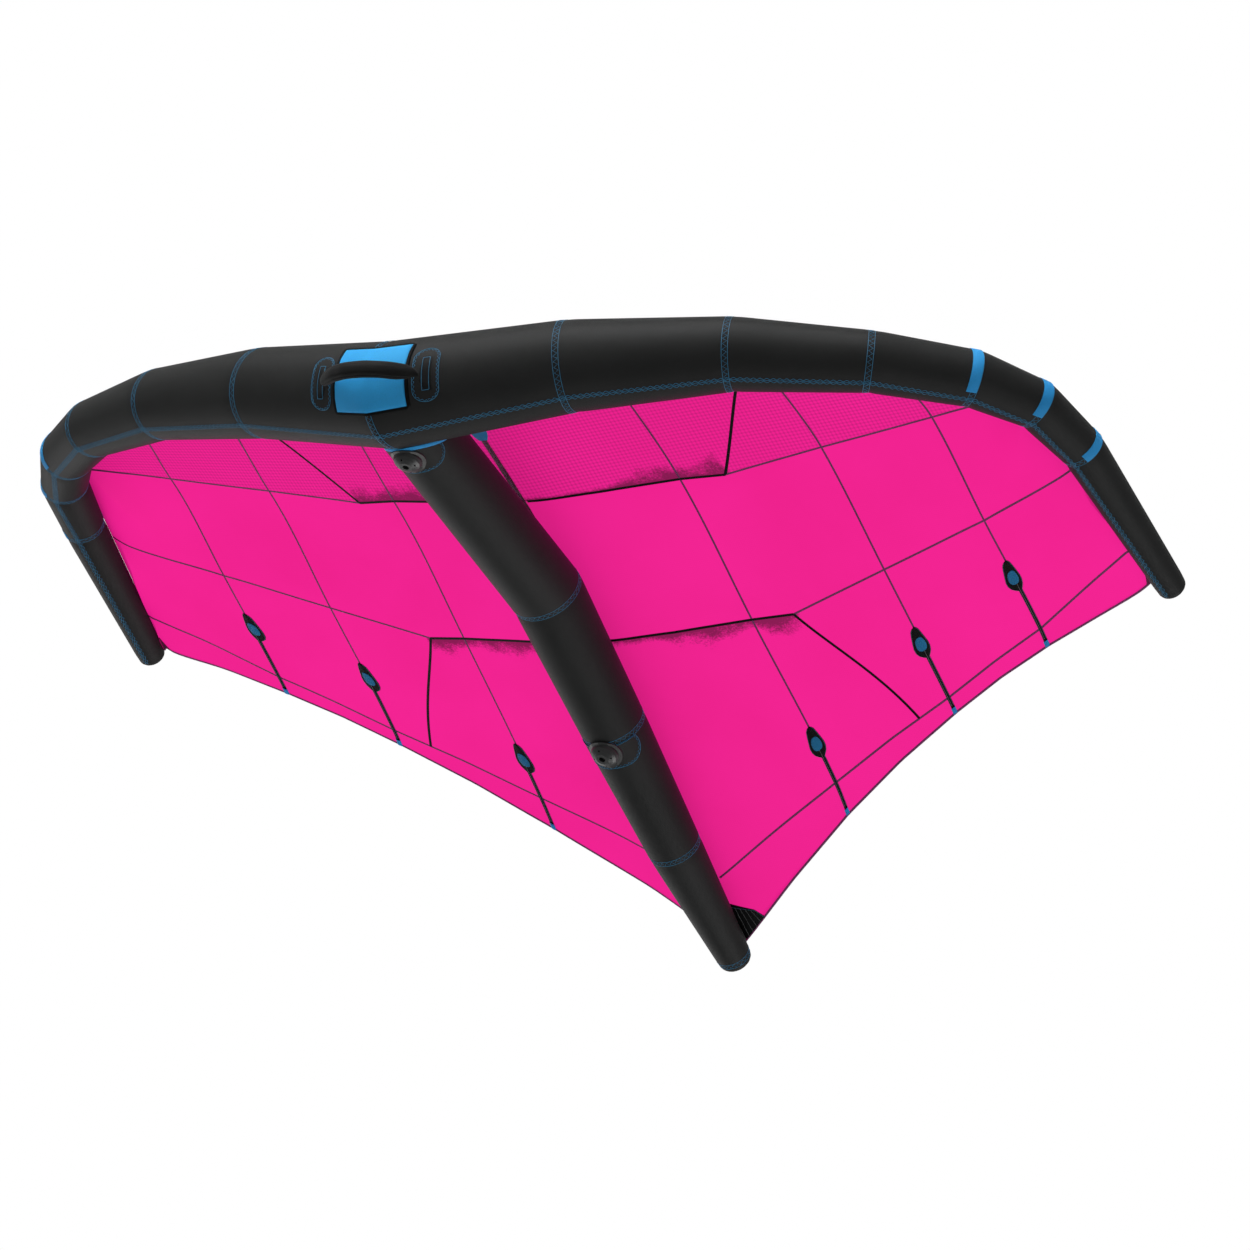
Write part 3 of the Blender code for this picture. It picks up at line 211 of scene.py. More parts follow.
class Nodes:
    """Short names for building a material's node tree."""

    def __init__(self, name):
        self.made = bpy.data.materials.new(name)
        self.made.use_nodes = True
        self.tree = self.made.node_tree
        self.shader = self.tree.nodes["Principled BSDF"]

    def add(self, kind, **values):
        node = self.tree.nodes.new(kind)
        for key, value in values.items():
            setattr(node, key, value)
        return node

    def link(self, output, target):
        self.tree.links.new(output, target)

    def math(self, operation, first, second=None, clamp=False):
        node = self.add("ShaderNodeMath", operation=operation)
        node.use_clamp = clamp
        for socket, value in zip(node.inputs, (first, second)):
            if value is None:
                continue
            if isinstance(value, (int, float)):
                socket.default_value = value
            else:
                self.link(value, socket)
        return node.outputs[0]

    def coordinates(self, kind):
        return self.add("ShaderNodeTexCoord").outputs[kind]

    def noise(self, vector, scale, detail=3.0, roughness=0.5):
        node = self.add("ShaderNodeTexNoise")
        self.link(vector, node.inputs["Vector"])
        node.inputs["Scale"].default_value = scale
        node.inputs["Detail"].default_value = detail
        node.inputs["Roughness"].default_value = roughness
        return node.outputs["Fac"]

    def spread(self, value, low, high, from_low=0.0, from_high=1.0):
        node = self.add("ShaderNodeMapRange")
        node.inputs["From Min"].default_value = from_low
        node.inputs["From Max"].default_value = from_high
        node.inputs["To Min"].default_value = low
        node.inputs["To Max"].default_value = high
        self.link(value, node.inputs["Value"])
        return node.outputs["Result"]

    def mix(self, factor, first, second, blend="MIX"):
        node = self.add("ShaderNodeMix", data_type="RGBA", blend_type=blend)
        for socket, value in ((node.inputs[0], factor), (node.inputs[6], first),
                              (node.inputs[7], second)):
            if isinstance(value, (int, float)):
                socket.default_value = value
            elif isinstance(value, tuple):
                socket.default_value = (*value, 1.0)
            else:
                self.link(value, socket)
        return node.outputs[2]

    def bump(self, height, distance):
        node = self.add("ShaderNodeBump")
        node.inputs["Distance"].default_value = distance
        node.inputs["Strength"].default_value = 1.0
        self.link(height, node.inputs["Height"])
        return node.outputs["Normal"]

    def separate(self, vector):
        node = self.add("ShaderNodeSeparateXYZ")
        self.link(vector, node.inputs[0])
        return node.outputs

    def combine(self, *values):
        node = self.add("ShaderNodeCombineXYZ")
        for socket, value in zip(node.inputs, values):
            if isinstance(value, (int, float)):
                socket.default_value = value
            else:
                self.link(value, socket)
        return node.outputs[0]

    def ridges(self, value, pitch):
        """Rounded ridges of height 0 to 1 that repeat at a pitch in metres."""
        turned = self.math("MULTIPLY", value, 2 * math.pi / pitch)
        wave = self.math("SINE", turned)
        return self.spread(wave, 0.0, 1.0, -1.0, 1.0)

    def lines(self, value, pitch, width):
        """1 on thin lines that repeat at a pitch, 0 between them."""
        scaled = self.math("DIVIDE", value, pitch)
        part = self.math("FRACT", scaled)
        near = self.math("SUBTRACT", part, 0.5)
        far = self.math("ABSOLUTE", near)
        return self.math("GREATER_THAN", far, 0.5 - width / pitch / 2)


WEAVE_BUMP = 0.00012
BLOTCH_SCALE = 6.0


def woven(name, colour, second, roughness, pitch, sheen=0.0, specular=0.25):
    """Plain woven cloth: its threads run along the mesh's UV map, which is in metres."""
    cloth = Nodes(name)
    uv = cloth.separate(cloth.coordinates("UV"))
    spots = cloth.noise(cloth.coordinates("Object"), BLOTCH_SCALE, 5.0, 0.62)
    fine = cloth.noise(cloth.coordinates("Object"), 420.0, 2.0, 0.6)
    base = cloth.mix(cloth.spread(spots, 0.0, 1.0, 0.34, 0.68), colour, second)
    warp = cloth.ridges(uv[0], pitch)
    weft = cloth.ridges(uv[1], pitch)
    weave = cloth.math("MULTIPLY", warp, weft)
    shade = cloth.spread(cloth.math("ADD", weave, fine), 0.82, 1.14, 0.25, 1.4)
    cloth.link(cloth.mix(1.0, base, cloth.combine(shade, shade, shade), "MULTIPLY"),
               cloth.shader.inputs["Base Color"])
    cloth.link(cloth.spread(spots, roughness - 0.06, roughness + 0.07),
               cloth.shader.inputs["Roughness"])
    cloth.shader.inputs["Sheen Weight"].default_value = sheen
    cloth.shader.inputs["Sheen Roughness"].default_value = 0.5
    cloth.shader.inputs["Specular IOR Level"].default_value = specular
    cloth.link(cloth.bump(weave, WEAVE_BUMP), cloth.shader.inputs["Normal"])
    return cloth.made


TUBE_CLOTH = woven("tube_cloth_weave", (0.0228, 0.0233, 0.0232), (0.0268, 0.0274, 0.0273),
                   0.46, 0.0011, 0.0, specular=0.09)
POCKET_CLOTH = woven("pocket_cloth_weave", (0.0036, 0.0040, 0.0042), (0.0054, 0.0060, 0.0064),
                     0.55, 0.0012, 0.0, specular=0.08)
BLUE_TAPE = woven("blue_tape_weave", (0.030, 0.330, 0.760), (0.042, 0.390, 0.860),
                  0.52, 0.0010, 0.0, specular=0.12)
PAD_CLOTH = woven("pad_cloth_weave", (0.038, 0.400, 0.860), (0.048, 0.470, 0.960),
                  0.58, 0.0012, 0.0, specular=0.12)
LEAF_CLOTH = woven("leaf_cloth_weave", (0.016, 0.180, 0.390), (0.022, 0.225, 0.470),
                   0.55, 0.0012, 0.0, specular=0.12)
GRIP_CLOTH = woven("grip_cloth_weave", (0.0090, 0.0093, 0.0093), (0.0130, 0.0134, 0.0136),
                   0.60, 0.0012, 0.05, specular=0.10)
PURPLE_TAPE = woven("purple_tape_weave", (0.220, 0.036, 0.150), (0.260, 0.042, 0.175),
                    0.55, 0.0010)
# Dark pink of the middle seam, also used for the tip pieces, whose wider part is painted shade.
DARK_PINK = woven("dark_pink_weave", (0.150, 0.0070, 0.066), (0.200, 0.0085, 0.085),
                  0.50, 0.0012)
BLACK_TAPE = woven("black_tape_weave", (0.0040, 0.0038, 0.0042), (0.0060, 0.0056, 0.0060),
                   0.55, 0.0010, specular=0.08)


def thread_material(name, colour, second):
    thread = Nodes(name)
    uv = thread.separate(thread.coordinates("UV"))
    twist = thread.ridges(uv[0], 0.0016)
    base = thread.mix(twist, colour, second)
    thread.link(base, thread.shader.inputs["Base Color"])
    thread.shader.inputs["Roughness"].default_value = 0.55
    thread.shader.inputs["Sheen Weight"].default_value = 0.15
    thread.link(thread.bump(twist, 0.0002), thread.shader.inputs["Normal"])
    return thread.made


BLUE_THREAD = thread_material("blue_thread_twist", (0.020, 0.230, 0.440), (0.034, 0.320, 0.600))
TEAL_THREAD = thread_material("teal_thread_twist", (0.006, 0.062, 0.100), (0.012, 0.100, 0.155))
GREY_THREAD = thread_material("grey_thread_twist", (0.080, 0.080, 0.085), (0.130, 0.130, 0.140))


def canopy_material():
    """Ripstop, translucent in life but opaque here: a coarse grid in the front panels and a fine one
    behind them.
    """
    cloth = Nodes("canopy_ripstop")
    uv = cloth.separate(cloth.coordinates("UV"))
    spots = cloth.noise(cloth.coordinates("Object"), 2.3, 5.0, 0.55)
    base = cloth.mix(cloth.spread(spots, 0.0, 1.0, 0.35, 0.65), (0.880, 0.0130, 0.275),
                     (0.920, 0.0150, 0.300))
    coarse = cloth.math("ADD", cloth.lines(uv[0], 0.0100, 0.0042),
                        cloth.lines(uv[1], 0.0108, 0.0045))
    fine = cloth.math("ADD", cloth.lines(uv[0], 0.0049, 0.0014),
                      cloth.lines(uv[1], 0.0060, 0.0016))
    front = cloth.add("ShaderNodeAttribute", attribute_name="front").outputs["Fac"]
    grid = cloth.math("ADD", cloth.math("MULTIPLY", coarse, front),
                      cloth.math("MULTIPLY", cloth.math("MULTIPLY", fine, 0.16),
                                 cloth.math("SUBTRACT", 1.0, front)))
    gridded = cloth.mix(cloth.math("MULTIPLY", grid, 0.30), base, (0.440, 0.010, 0.160))
    fade = cloth.add("ShaderNodeAttribute", attribute_name="fade").outputs["Fac"]
    cloud = cloth.noise(cloth.coordinates("Object"), 26.0, 5.0, 0.60)
    grain = cloth.noise(cloth.coordinates("Object"), 210.0, 2.0, 0.60)
    ragged = cloth.math("ADD", cloth.spread(cloud, -0.30, 0.30, 0.30, 0.70),
                        cloth.spread(grain, -0.24, 0.24, 0.30, 0.70))
    worn = cloth.spread(cloth.math("ADD", fade, ragged), 0.0, 1.0, 0.10, 0.78)
    printed = cloth.mix(cloth.math("MULTIPLY", worn, 0.94, clamp=True), gridded,
                        (0.215, 0.0085, 0.074))
    cloth.link(printed, cloth.shader.inputs["Base Color"])
    cloth.link(cloth.spread(spots, 0.52, 0.60), cloth.shader.inputs["Roughness"])
    cloth.shader.inputs["Specular IOR Level"].default_value = 0.03
    cloth.link(cloth.bump(grid, 0.00010), cloth.shader.inputs["Normal"])
    return cloth.made


CANOPY_CLOTH = canopy_material()


def moulded(name, colour, roughness):
    plastic = Nodes(name)
    fine = plastic.noise(plastic.coordinates("Object"), 900.0, 3.0, 0.6)
    wide = plastic.noise(plastic.coordinates("Object"), 40.0, 4.0, 0.6)
    second = tuple(value * 1.5 for value in colour)
    plastic.link(plastic.mix(plastic.spread(wide, 0.0, 1.0, 0.35, 0.7), colour, second),
                 plastic.shader.inputs["Base Color"])
    plastic.link(plastic.spread(wide, roughness - 0.05, roughness + 0.08),
                 plastic.shader.inputs["Roughness"])
    plastic.link(plastic.bump(fine, 0.00010), plastic.shader.inputs["Normal"])
    return plastic.made


MOULDING = moulded("moulded_base_grain", (0.0200, 0.0210, 0.0215), 0.38)
VALVE_PLASTIC = moulded("valve_plastic_grain", (0.0240, 0.0240, 0.0260), 0.34)
FILM = moulded("bladder_film_grain", (0.6500, 0.6700, 0.6600), 0.30)


# Mesh helpers


def object_from(name, work, stuff, sharp):
    """Smooth object from a bmesh, with sharp edges above an angle in degrees."""
    bmesh.ops.recalc_face_normals(work, faces=work.faces)
    mesh = bpy.data.meshes.new(name)
    work.to_mesh(mesh)
    work.free()
    made = bpy.data.objects.new(name, mesh)
    bpy.context.scene.collection.objects.link(made)
    mesh.materials.append(stuff)
    for face in mesh.polygons:
        face.use_smooth = True
    mesh.set_sharp_from_angle(angle=math.radians(sharp))
    return made


def sheet_body(name, outer, inner, stuff, wrap, spans, close=(True, True), sharp=60.0):
    """Closed shell between two lattices, with UVs in metres from the spans table."""
    work = bmesh.new()
    layer = work.loops.layers.uv.new("UVMap")
    rows = len(outer)
    columns = len(outer[0])
    steps = columns if wrap else columns - 1
    lattices = [[[work.verts.new(point + ORIGIN) for point in row] for row in lattice]
                for lattice in (outer, inner)]

    def face(corners, marks):
        if len(set(corners)) < 3:
            return
        made = work.faces.new(corners)
        for loop, mark in zip(made.loops, marks):
            loop[layer].uv = mark

    for lattice in lattices:
        for row in range(rows - 1):
            for step in range(steps):
                after = (step + 1) % columns
                corners = (lattice[row][step], lattice[row][after],
                           lattice[row + 1][after], lattice[row + 1][step])
                marks = (spans(row, step), spans(row, step + 1),
                         spans(row + 1, step + 1), spans(row + 1, step))
                face(corners, marks)
    top, low = lattices
    for row, wanted in ((0, close[0]), (rows - 1, close[1])):
        if wanted:
            for step in range(steps):
                after = (step + 1) % columns
                face((top[row][step], top[row][after], low[row][after], low[row][step]),
                     (spans(row, step), spans(row, step + 1), spans(row, step + 1), spans(row, step)))
    if not wrap:
        for column in (0, columns - 1):
            for row in range(rows - 1):
                face((top[row][column], top[row + 1][column],
                      low[row + 1][column], low[row][column]),
                     (spans(row, column), spans(row + 1, column), spans(row + 1, column),
                      spans(row, column)))
    bmesh.ops.remove_doubles(work, verts=work.verts, dist=GAP * 0.05)
    bmesh.ops.dissolve_degenerate(work, edges=work.edges, dist=GAP * 0.02)
    return object_from(name, work, stuff, sharp)


def metre_spans(rows):
    """UVs in metres: distance along the row and down the columns."""
    down = [0.0]
    middle = len(rows[0]) // 2
    for here, after in zip(rows, rows[1:]):
        down.append(down[-1] + (after[middle] - here[middle]).length)
    tables = []
    for row in rows:
        along = [0.0]
        for here, after in zip(row, row[1:] + row[:1]):
            along.append(along[-1] + (after - here).length)
        tables.append(along)

    def spans(row, step):
        return tables[row][step], down[row]

    return spans


def strips(name, routes, stuff, half_width, height):
    """Flat sewn strips or threads along routes of (points, normals, closed)."""
    work = bmesh.new()
    layer = work.loops.layers.uv.new("UVMap")
    for points, normals, closed in routes:
        count = len(points)
        rings = []
        walked = 0.0
        walks = []
        for number, (point, normal) in enumerate(zip(points, normals)):
            before = points[number - 1] if number or closed else point
            after = points[(number + 1) % count] if number < count - 1 or closed else point
            if number:
                walked += (point - points[number - 1]).length
            walks.append(walked)
            way_in = point - before
            way_out = after - point
            way = Vector((0, 0, 0))
            for part in (way_in, way_out):
                if part.length > 0:
                    way += part.normalized()
            side = way.cross(normal).normalized()
            base = point + ORIGIN
            rings.append([work.verts.new(base - side * half_width),
                          work.verts.new(base - side * half_width * 0.5 + normal * height),
                          work.verts.new(base + side * half_width * 0.5 + normal * height),
                          work.verts.new(base + side * half_width)])
        last = count if closed else count - 1
        for number in range(last):
            here = rings[number]
            after = rings[(number + 1) % count]
            near = walks[number]
            far = walks[number + 1] if number < count - 1 else walked + 0.001
            for corner in range(4):
                beyond = (corner + 1) % 4
                made = work.faces.new((here[corner], here[beyond], after[beyond], after[corner]))
                marks = ((near, corner), (near, corner + 1), (far, corner + 1), (far, corner))
                for loop, (along, across) in zip(made.loops, marks):
                    loop[layer].uv = (along, across * half_width)
        if not closed:
            work.faces.new(rings[0])
            work.faces.new(rings[-1])
    return object_from(name, work, stuff, 40.0)


def zigzag(length, pitch, half):
    """Points (along, across) of a zigzag stitch."""
    count = max(2, round(length / pitch))
    step = length / count
    return [(step * number, half if number % 2 else -half) for number in range(count + 1)]


WAVE_PARTS = 8


def wavy(length, period, half, centre, phase):
    """Points (along, across) of a row of waves."""
    count = max(WAVE_PARTS, round(length / period * WAVE_PARTS))
    return [(length * number / count,
             centre + half * math.sin(phase + 2 * math.pi * length * number / count / period))
            for number in range(count + 1)]


def straight(length, step, across):
    """Points (along, across) of a straight row."""
    count = max(2, round(length / step))
    return [(length * number / count, across) for number in range(count + 1)]


def route_of(steps, lift=0.0, closed=False):
    """Route through steps of (point, normal), raised by a lift."""
    return [point + normal * lift for point, normal in steps], [normal for _, normal in steps], closed


def sided_route(route, side):
    points, normals, closed = route
    return ([sided(point, side) for point in points], [sided(normal, side) for normal in normals],
            closed)


def fit(made, replaced, body=WING):
    """Let a piece ride on its body in place of a CAD node."""
    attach(made, body)
    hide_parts(replaced)


# Tubes

AROUND = 96
SEAM_DIP = 0.0011
SEAM_DIP_REACH = 0.014
PUCKER = 0.00045
PUCKER_COUNT = 34
PUCKER_PHASE = 1.7
END_DISTANCES = (0.0, 0.003, 0.007, 0.012, 0.018, 0.027, 0.042, 0.070)


def seam_offset(distance, angle, phase):
    """How far the cloth is drawn in or puckered near a ring seam."""
    fade = math.exp(-(distance / SEAM_DIP_REACH) ** 2)
    wave = math.sin(math.radians(angle) * PUCKER_COUNT + phase)
    return -SEAM_DIP * fade + PUCKER * wave * math.exp(-distance / (SEAM_DIP_REACH * 1.6)) * 0.6


def length_shares(length):
    near = [distance / length for distance in END_DISTANCES if distance < length * 0.42]
    middle = [0.5]
    return near + middle + [1.0 - share for share in reversed(near)]


def tube_length(name, tube, index, side, replaced, start_share=None):
    length = tube.length(index)
    shares = length_shares(length)
    outer = []
    inner = []
    for share in shares:
        distance_in = min(share, 1.0 - share) * length
        row = []
        low = []
        for step in range(AROUND):
            angle = 360.0 * step / AROUND
            here = share
            if start_share is not None:
                first = start_share(angle)
                here = first + (1.0 - first) * share
            phase = index * PUCKER_PHASE + (0 if share < 0.5 else PUCKER_PHASE)
            offset = seam_offset(distance_in, angle, phase)
            spot = tube.ring_spot(index, index, angle, offset).lerp(
                tube.ring_spot(index, index + 1, angle, offset), here)
            under = tube.ring_spot(index, index, angle, offset - CLOTH_WALL).lerp(
                tube.ring_spot(index, index + 1, angle, offset - CLOTH_WALL), here)
            row.append(sided(spot, side))
            low.append(sided(under, side))
        outer.append(row)
        inner.append(low)
    made = sheet_body(name, outer, inner, TUBE_CLOTH, True, metre_spans(outer))
    fit(made, replaced)


for side, side_name in SIDE_NAMES:
    for index in range(EDGE_COUNT):
        tube_length(f"edge_cloth_{side_name}_{index + 1}", EDGE, index, side,
                    f"edge_panel_{side_name}_{index + 1}")


def outside_edge(point):
    """Distance of a point from the cloth of the leading edge near its middle."""
    spot = Vector((abs(point.x), point.y, point.z))
    way = EDGE.ways[0]
    along = (spot - EDGE.points[0]).dot(way)
    share = along / EDGE.length(0)
    radius = EDGE.radii[0] * (1 - share) + EDGE.radii[1] * share
    away = (spot - EDGE.points[0] - way * along).length
    return away - radius


def strut_start(angle, gap=GAP, lift=0.0):
    """Share of the strut's first length at which it meets the leading edge."""
    low, high = 0.0, 0.9
    for _ in range(28):
        middle = (low + high) / 2
        if outside_edge(STRUT.at(middle, angle, lift)) > gap:
            high = middle
        else:
            low = middle
    return high


tube_length("strut_cloth_1", STRUT, 0, 1, "strut_panel_1", strut_start)
for index in range(1, STRUT_COUNT):
    tube_length(f"strut_cloth_{index + 1}", STRUT, index, 1, f"strut_panel_{index + 1}")


CAP_DEPTH_SHARE = 0.62
CAP_ANGLES = (0.0, 8.0, 18.0, 30.0, 42.0, 54.0, 66.0, 76.0, 84.0, 90.0)


def end_cap(name, tube, side, replaced):
    last = len(tube.points) - 1
    way = tube.ways[-1]
    radius = tube.radii[-1]
    outer = []
    inner = []
    for lattice, size in ((outer, radius), (inner, radius - CLOTH_WALL)):
        for angle in CAP_ANGLES:
            turn = math.radians(angle)
            reach = size * math.cos(turn)
            depth = size * CAP_DEPTH_SHARE * math.sin(turn)
            row = []
            for step in range(AROUND // 2):
                round_angle = 720.0 * step / AROUND
                out = tube.outward(last, round_angle)
                dip = seam_offset(depth, round_angle, 0.4) if lattice is outer else 0.0
                spot = tube.points[-1] + way * (GAP + depth) + out * max(reach + dip, 0.0)
                row.append(sided(spot, side))
            lattice.append(row)
    made = sheet_body(name, outer, inner, TUBE_CLOTH, True, metre_spans(outer), (True, False))
    fit(made, replaced)


for side, side_name in SIDE_NAMES:
    end_cap("edge_end_" + side_name, EDGE, side, "edge_cap_" + side_name)
end_cap("strut_end", STRUT, 1, "strut_end_cap")


# Air bladders, a little inside the cloth

BLADDER_INSET = 0.0060
BLADDER_FILM_WALL = 0.0008
BLADDER_END = 0.05
STRUT_BLADDER_START = 0.24


def bladder(name, tube, places, replaced):
    """Closed hose of film inside a tube, along a list of (side, place)."""
    lattices = []
    for inset in (BLADDER_INSET, BLADDER_INSET + BLADDER_FILM_WALL):
        rows = []
        for number, (side, place) in enumerate(places):
            last = number in (0, len(places) - 1)
            lift = -tube.radius(place) * 0.999 if last else -inset
            rows.append([sided(tube.at(place, 360.0 * step / AROUND, lift), side)
                         for step in range(AROUND)])
        lattices.append(rows)
    made = sheet_body(name, *lattices, FILM, True, metre_spans(lattices[0]))
    fit(made, replaced)


edge_run = [(1, place) for place in range(1, EDGE_COUNT)]
edge_run += [(1, EDGE_COUNT - BLADDER_END), (1, EDGE_COUNT - BLADDER_END)]
bladder("edge_air_bladder", EDGE,
        [(-side, place) for side, place in reversed(edge_run)] + [(1, 0)] + edge_run,
        "edge_bladder")
strut_run = [(1, STRUT_BLADDER_START), (1, STRUT_BLADDER_START)]
strut_run += [(1, place) for place in range(1, STRUT_COUNT)]
strut_run += [(1, STRUT_COUNT - BLADDER_END), (1, STRUT_COUNT - BLADDER_END)]
bladder("strut_air_bladder", STRUT, strut_run, "strut_bladder")


# Stitches on the tubes

THREAD_HALF = 0.00050
THREAD_HIGH = 0.00050
THREAD_LIFT = 0.00015
RING_SEAM_WIDTH = 0.0140
RING_SEAM_INSET = 0.0010
RING_PITCH = 0.0066
ROW_STEP = 0.006
ZIGZAG_SHARE = 0.66


def ring_route(tube, number, side, plan, start_angle):
    """Route just before a ring seam from a stitch plan of (along, across) points."""
    length = tube.length(number - 1)
    steps = []
    for along, across in plan:
        angle = start_angle + math.degrees(along / tube.radii[number])
        distance = RING_SEAM_INSET + RING_SEAM_WIDTH / 2 + across
        place = number - distance / length
        dip = seam_offset(distance, angle, (number - 1) * PUCKER_PHASE + PUCKER_PHASE)
        steps.append((sided(tube.at(place, angle, dip + THREAD_LIFT), side),
                      sided(tube.outward(place, angle), side)))
    return route_of(steps)


def seam_plans(arc):
    """Two straight rows with a zigzag between them."""
    half = RING_SEAM_WIDTH / 2
    return [straight(arc, ROW_STEP, -half), straight(arc, ROW_STEP, half),
            zigzag(arc, RING_PITCH, half * ZIGZAG_SHARE)]


def ring_seam_routes(tube, number, side, start_angle, stop_angle):
    arc = math.radians(stop_angle - start_angle) * tube.radii[number]
    return [ring_route(tube, number, side, plan, start_angle) for plan in seam_plans(arc)]


def sewn(name, routes, stuff=BLUE_THREAD, half=THREAD_HALF, high=THREAD_HIGH):
    made = strips(name, routes, stuff, half, high)
    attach(made, WING)
    return made


CLOSE_PERIOD = 0.0150
CLOSE_HALF = 0.0022
CLOSE_ROW = 0.0046


def closing_routes(side):
    """Two facing rows of waves with a thin row between them, along the closing seam."""
    lengths = [EDGE.length(index) for index in range(EDGE_COUNT)]
    total = sum(lengths)
    routes = []
    for centre, half, phase in ((-CLOSE_ROW, CLOSE_HALF, 0.0), (CLOSE_ROW, CLOSE_HALF, math.pi),
                                (0.0, CLOSE_HALF * 0.30, math.pi / 2)):
        steps = []
        for along, across in wavy(total, CLOSE_PERIOD, half, centre, phase):
            index = 0
            rest = along
            while index < EDGE_COUNT - 1 and rest > lengths[index]:
                rest -= lengths[index]
                index += 1
            place = index + min(rest / lengths[index], 0.9999)
            angle = between(CLOSE_ANGLES, place)
            angle += math.degrees(across / EDGE.radius(place))
            steps.append((sided(EDGE.at(place, angle, THREAD_LIFT), side),
                          sided(EDGE.outward(place, angle), side)))
        routes.append(route_of(steps))
    return routes


for side, side_name in SIDE_NAMES:
    routes = []
    for number in range(1, EDGE_COUNT):
        top = LEAVE_ANGLES[number]
        routes += ring_seam_routes(EDGE, number, side, top - 360.0 + 3.0, top - 3.0)
    sewn("edge_ring_stitches_" + side_name, routes)
    sewn("edge_closing_stitches_" + side_name, closing_routes(side))

MIDDLE_START = -110.0
MIDDLE_STOP = 235.0


def middle_ring_route(plan):
    steps = []
    for along, across in plan:
        angle = MIDDLE_START + math.degrees(along / TUBE_RADIUS)
        side = 1 if across >= 0 else -1
        place = abs(across) / EDGE.length(0)
        steps.append((sided(EDGE.at(place, angle, THREAD_LIFT * 2), side),
                      sided(EDGE.outward(place, angle), side)))
    return route_of(steps)


middle_arc = math.radians(MIDDLE_STOP - MIDDLE_START) * TUBE_RADIUS
sewn("edge_middle_stitches", [middle_ring_route(plan) for plan in seam_plans(middle_arc)])
strut_routes = []
for number in range(1, STRUT_COUNT + 1):
    strut_routes += ring_seam_routes(STRUT, number, 1, -88.0, 268.0)
sewn("strut_ring_stitches", strut_routes)


# Blue bands

BAND_WIDTH = 0.024
BAND_INSET = 0.002
BAND_WALL = 0.0010
BAND_START = 100.0
BAND_STOP_BEFORE = 6.0


def band(side, side_name, number):
    stop = LEAVE_ANGLES[number] - BAND_STOP_BEFORE
    length = EDGE.length(number - 1)
    near = number - (BAND_INSET + BAND_WIDTH) / length
    far = number - BAND_INSET / length
    steps = 40
    outer = []
    inner = []
    for lattice, lift in ((outer, GAP + BAND_WALL), (inner, GAP)):
        for share, drop in ((0.0, 0.6), (0.08, 0.0), (0.5, 0.0), (0.92, 0.0), (1.0, 0.6)):
            place = near + (far - near) * share
            row = []
            for step in range(steps + 1):
                angle = BAND_START + (stop - BAND_START) * step / steps
                down = BAND_WALL * drop if lattice is outer else 0.0
                row.append(sided(EDGE.at(place, angle, lift - down), side))
            lattice.append(row)
    name = f"blue_band_{side_name}_{number}"
    made = sheet_body(name, outer, inner, BLUE_TAPE, False, metre_spans(outer))
    fit(made, f"seam_band_{side_name}_{number}")


for side, side_name in SIDE_NAMES:
    for number in (4, 5, 6):
        band(side, side_name, number)


# Canopy

LINE_ORDER = ("A", "B", "C", "TE")


def leave_angle(place):
    return between(LEAVE_ANGLES, place)


def attach_at(place):
    return EDGE.at(place, leave_angle(place), CANOPY_LIFT)


def attach_point(column):
    return attach_at(ATTACH_PLACES[column])


def attach_way(column):
    place = ATTACH_PLACES[column]
    way = EDGE.round_way(place, leave_angle(place))
    if column == 0:
        way = Vector((0, way.y, way.z)).normalized()
    return way


def strut_top(back):
    """Point on the top of the strut's cloth at a distance back."""
    tops = [STRUT.at(number, 270.0, CANOPY_LIFT) for number in range(STRUT_COUNT)]
    tops.append(STRUT.ring_spot(STRUT_COUNT - 1, STRUT_COUNT, 270.0, CANOPY_LIFT))
    for here, after in zip(tops, tops[1:]):
        if back <= after.y or after is tops[-1]:
            return here.lerp(after, (back - here.y) / (after.y - here.y))
    return tops[-1]


def canopy_line(out_shares, back_shares, up_shares):
    return shares_to_points(out_shares, back_shares, up_shares, TE_OUT, TE_BACK, CANOPY_RISE)


LINES = {
    "A": canopy_line(A_OUT_SHARES, A_BACK_SHARES, A_UP_SHARES),
    "B": canopy_line(B_OUT_SHARES, B_BACK_SHARES, B_UP_SHARES),
    "C": canopy_line(C_OUT_SHARES, C_BACK_SHARES, C_UP_SHARES),
    "TE": canopy_line(TE_OUT_SHARES, TE_BACK_SHARES, TE_UP_SHARES),
}
for line_name in ("B", "C", "TE"):
    LINES[line_name][0] = strut_top(LINES[line_name][0].y)
for line_name in LINE_ORDER:
    LINES[line_name].append(attach_point(len(LINES[line_name])))
LAST = {line_name: len(LINES[line_name]) - 1 for line_name in LINE_ORDER}
PREVIOUS = {"B": "A", "C": "B", "TE": "C"}


def column_curve(column):
    """Hermite pieces of a column, keyed by the seam line that ends each piece."""
    points = [attach_point(column)]
    names = ["tube"]
    for line_name in LINE_ORDER:
        if column < LAST[line_name]:
            points.append(LINES[line_name][column])
            names.append(line_name)
    tangents = []
    for index, point in enumerate(points):
        if index == 0:
            tangents.append(attach_way(column))
        elif index == len(points) - 1:
            tangents.append((point - points[index - 1]).normalized())
        else:
            before = (point - points[index - 1]).normalized()
            after = (points[index + 1] - point).normalized()
            tangents.append((before + after).normalized())
    pieces = {}
    for index in range(len(points) - 1):
        span = (points[index + 1] - points[index]).length
        pieces[names[index + 1]] = (points[index], tangents[index] * span,
                                    points[index + 1], tangents[index + 1] * span)
    return pieces


def hermite(start, start_way, end, end_way, share):
    square = share * share
    cube = square * share
    return (start * (2 * cube - 3 * square + 1) + start_way * (cube - 2 * square + share)
            + end * (3 * square - 2 * cube) + end_way * (cube - square))


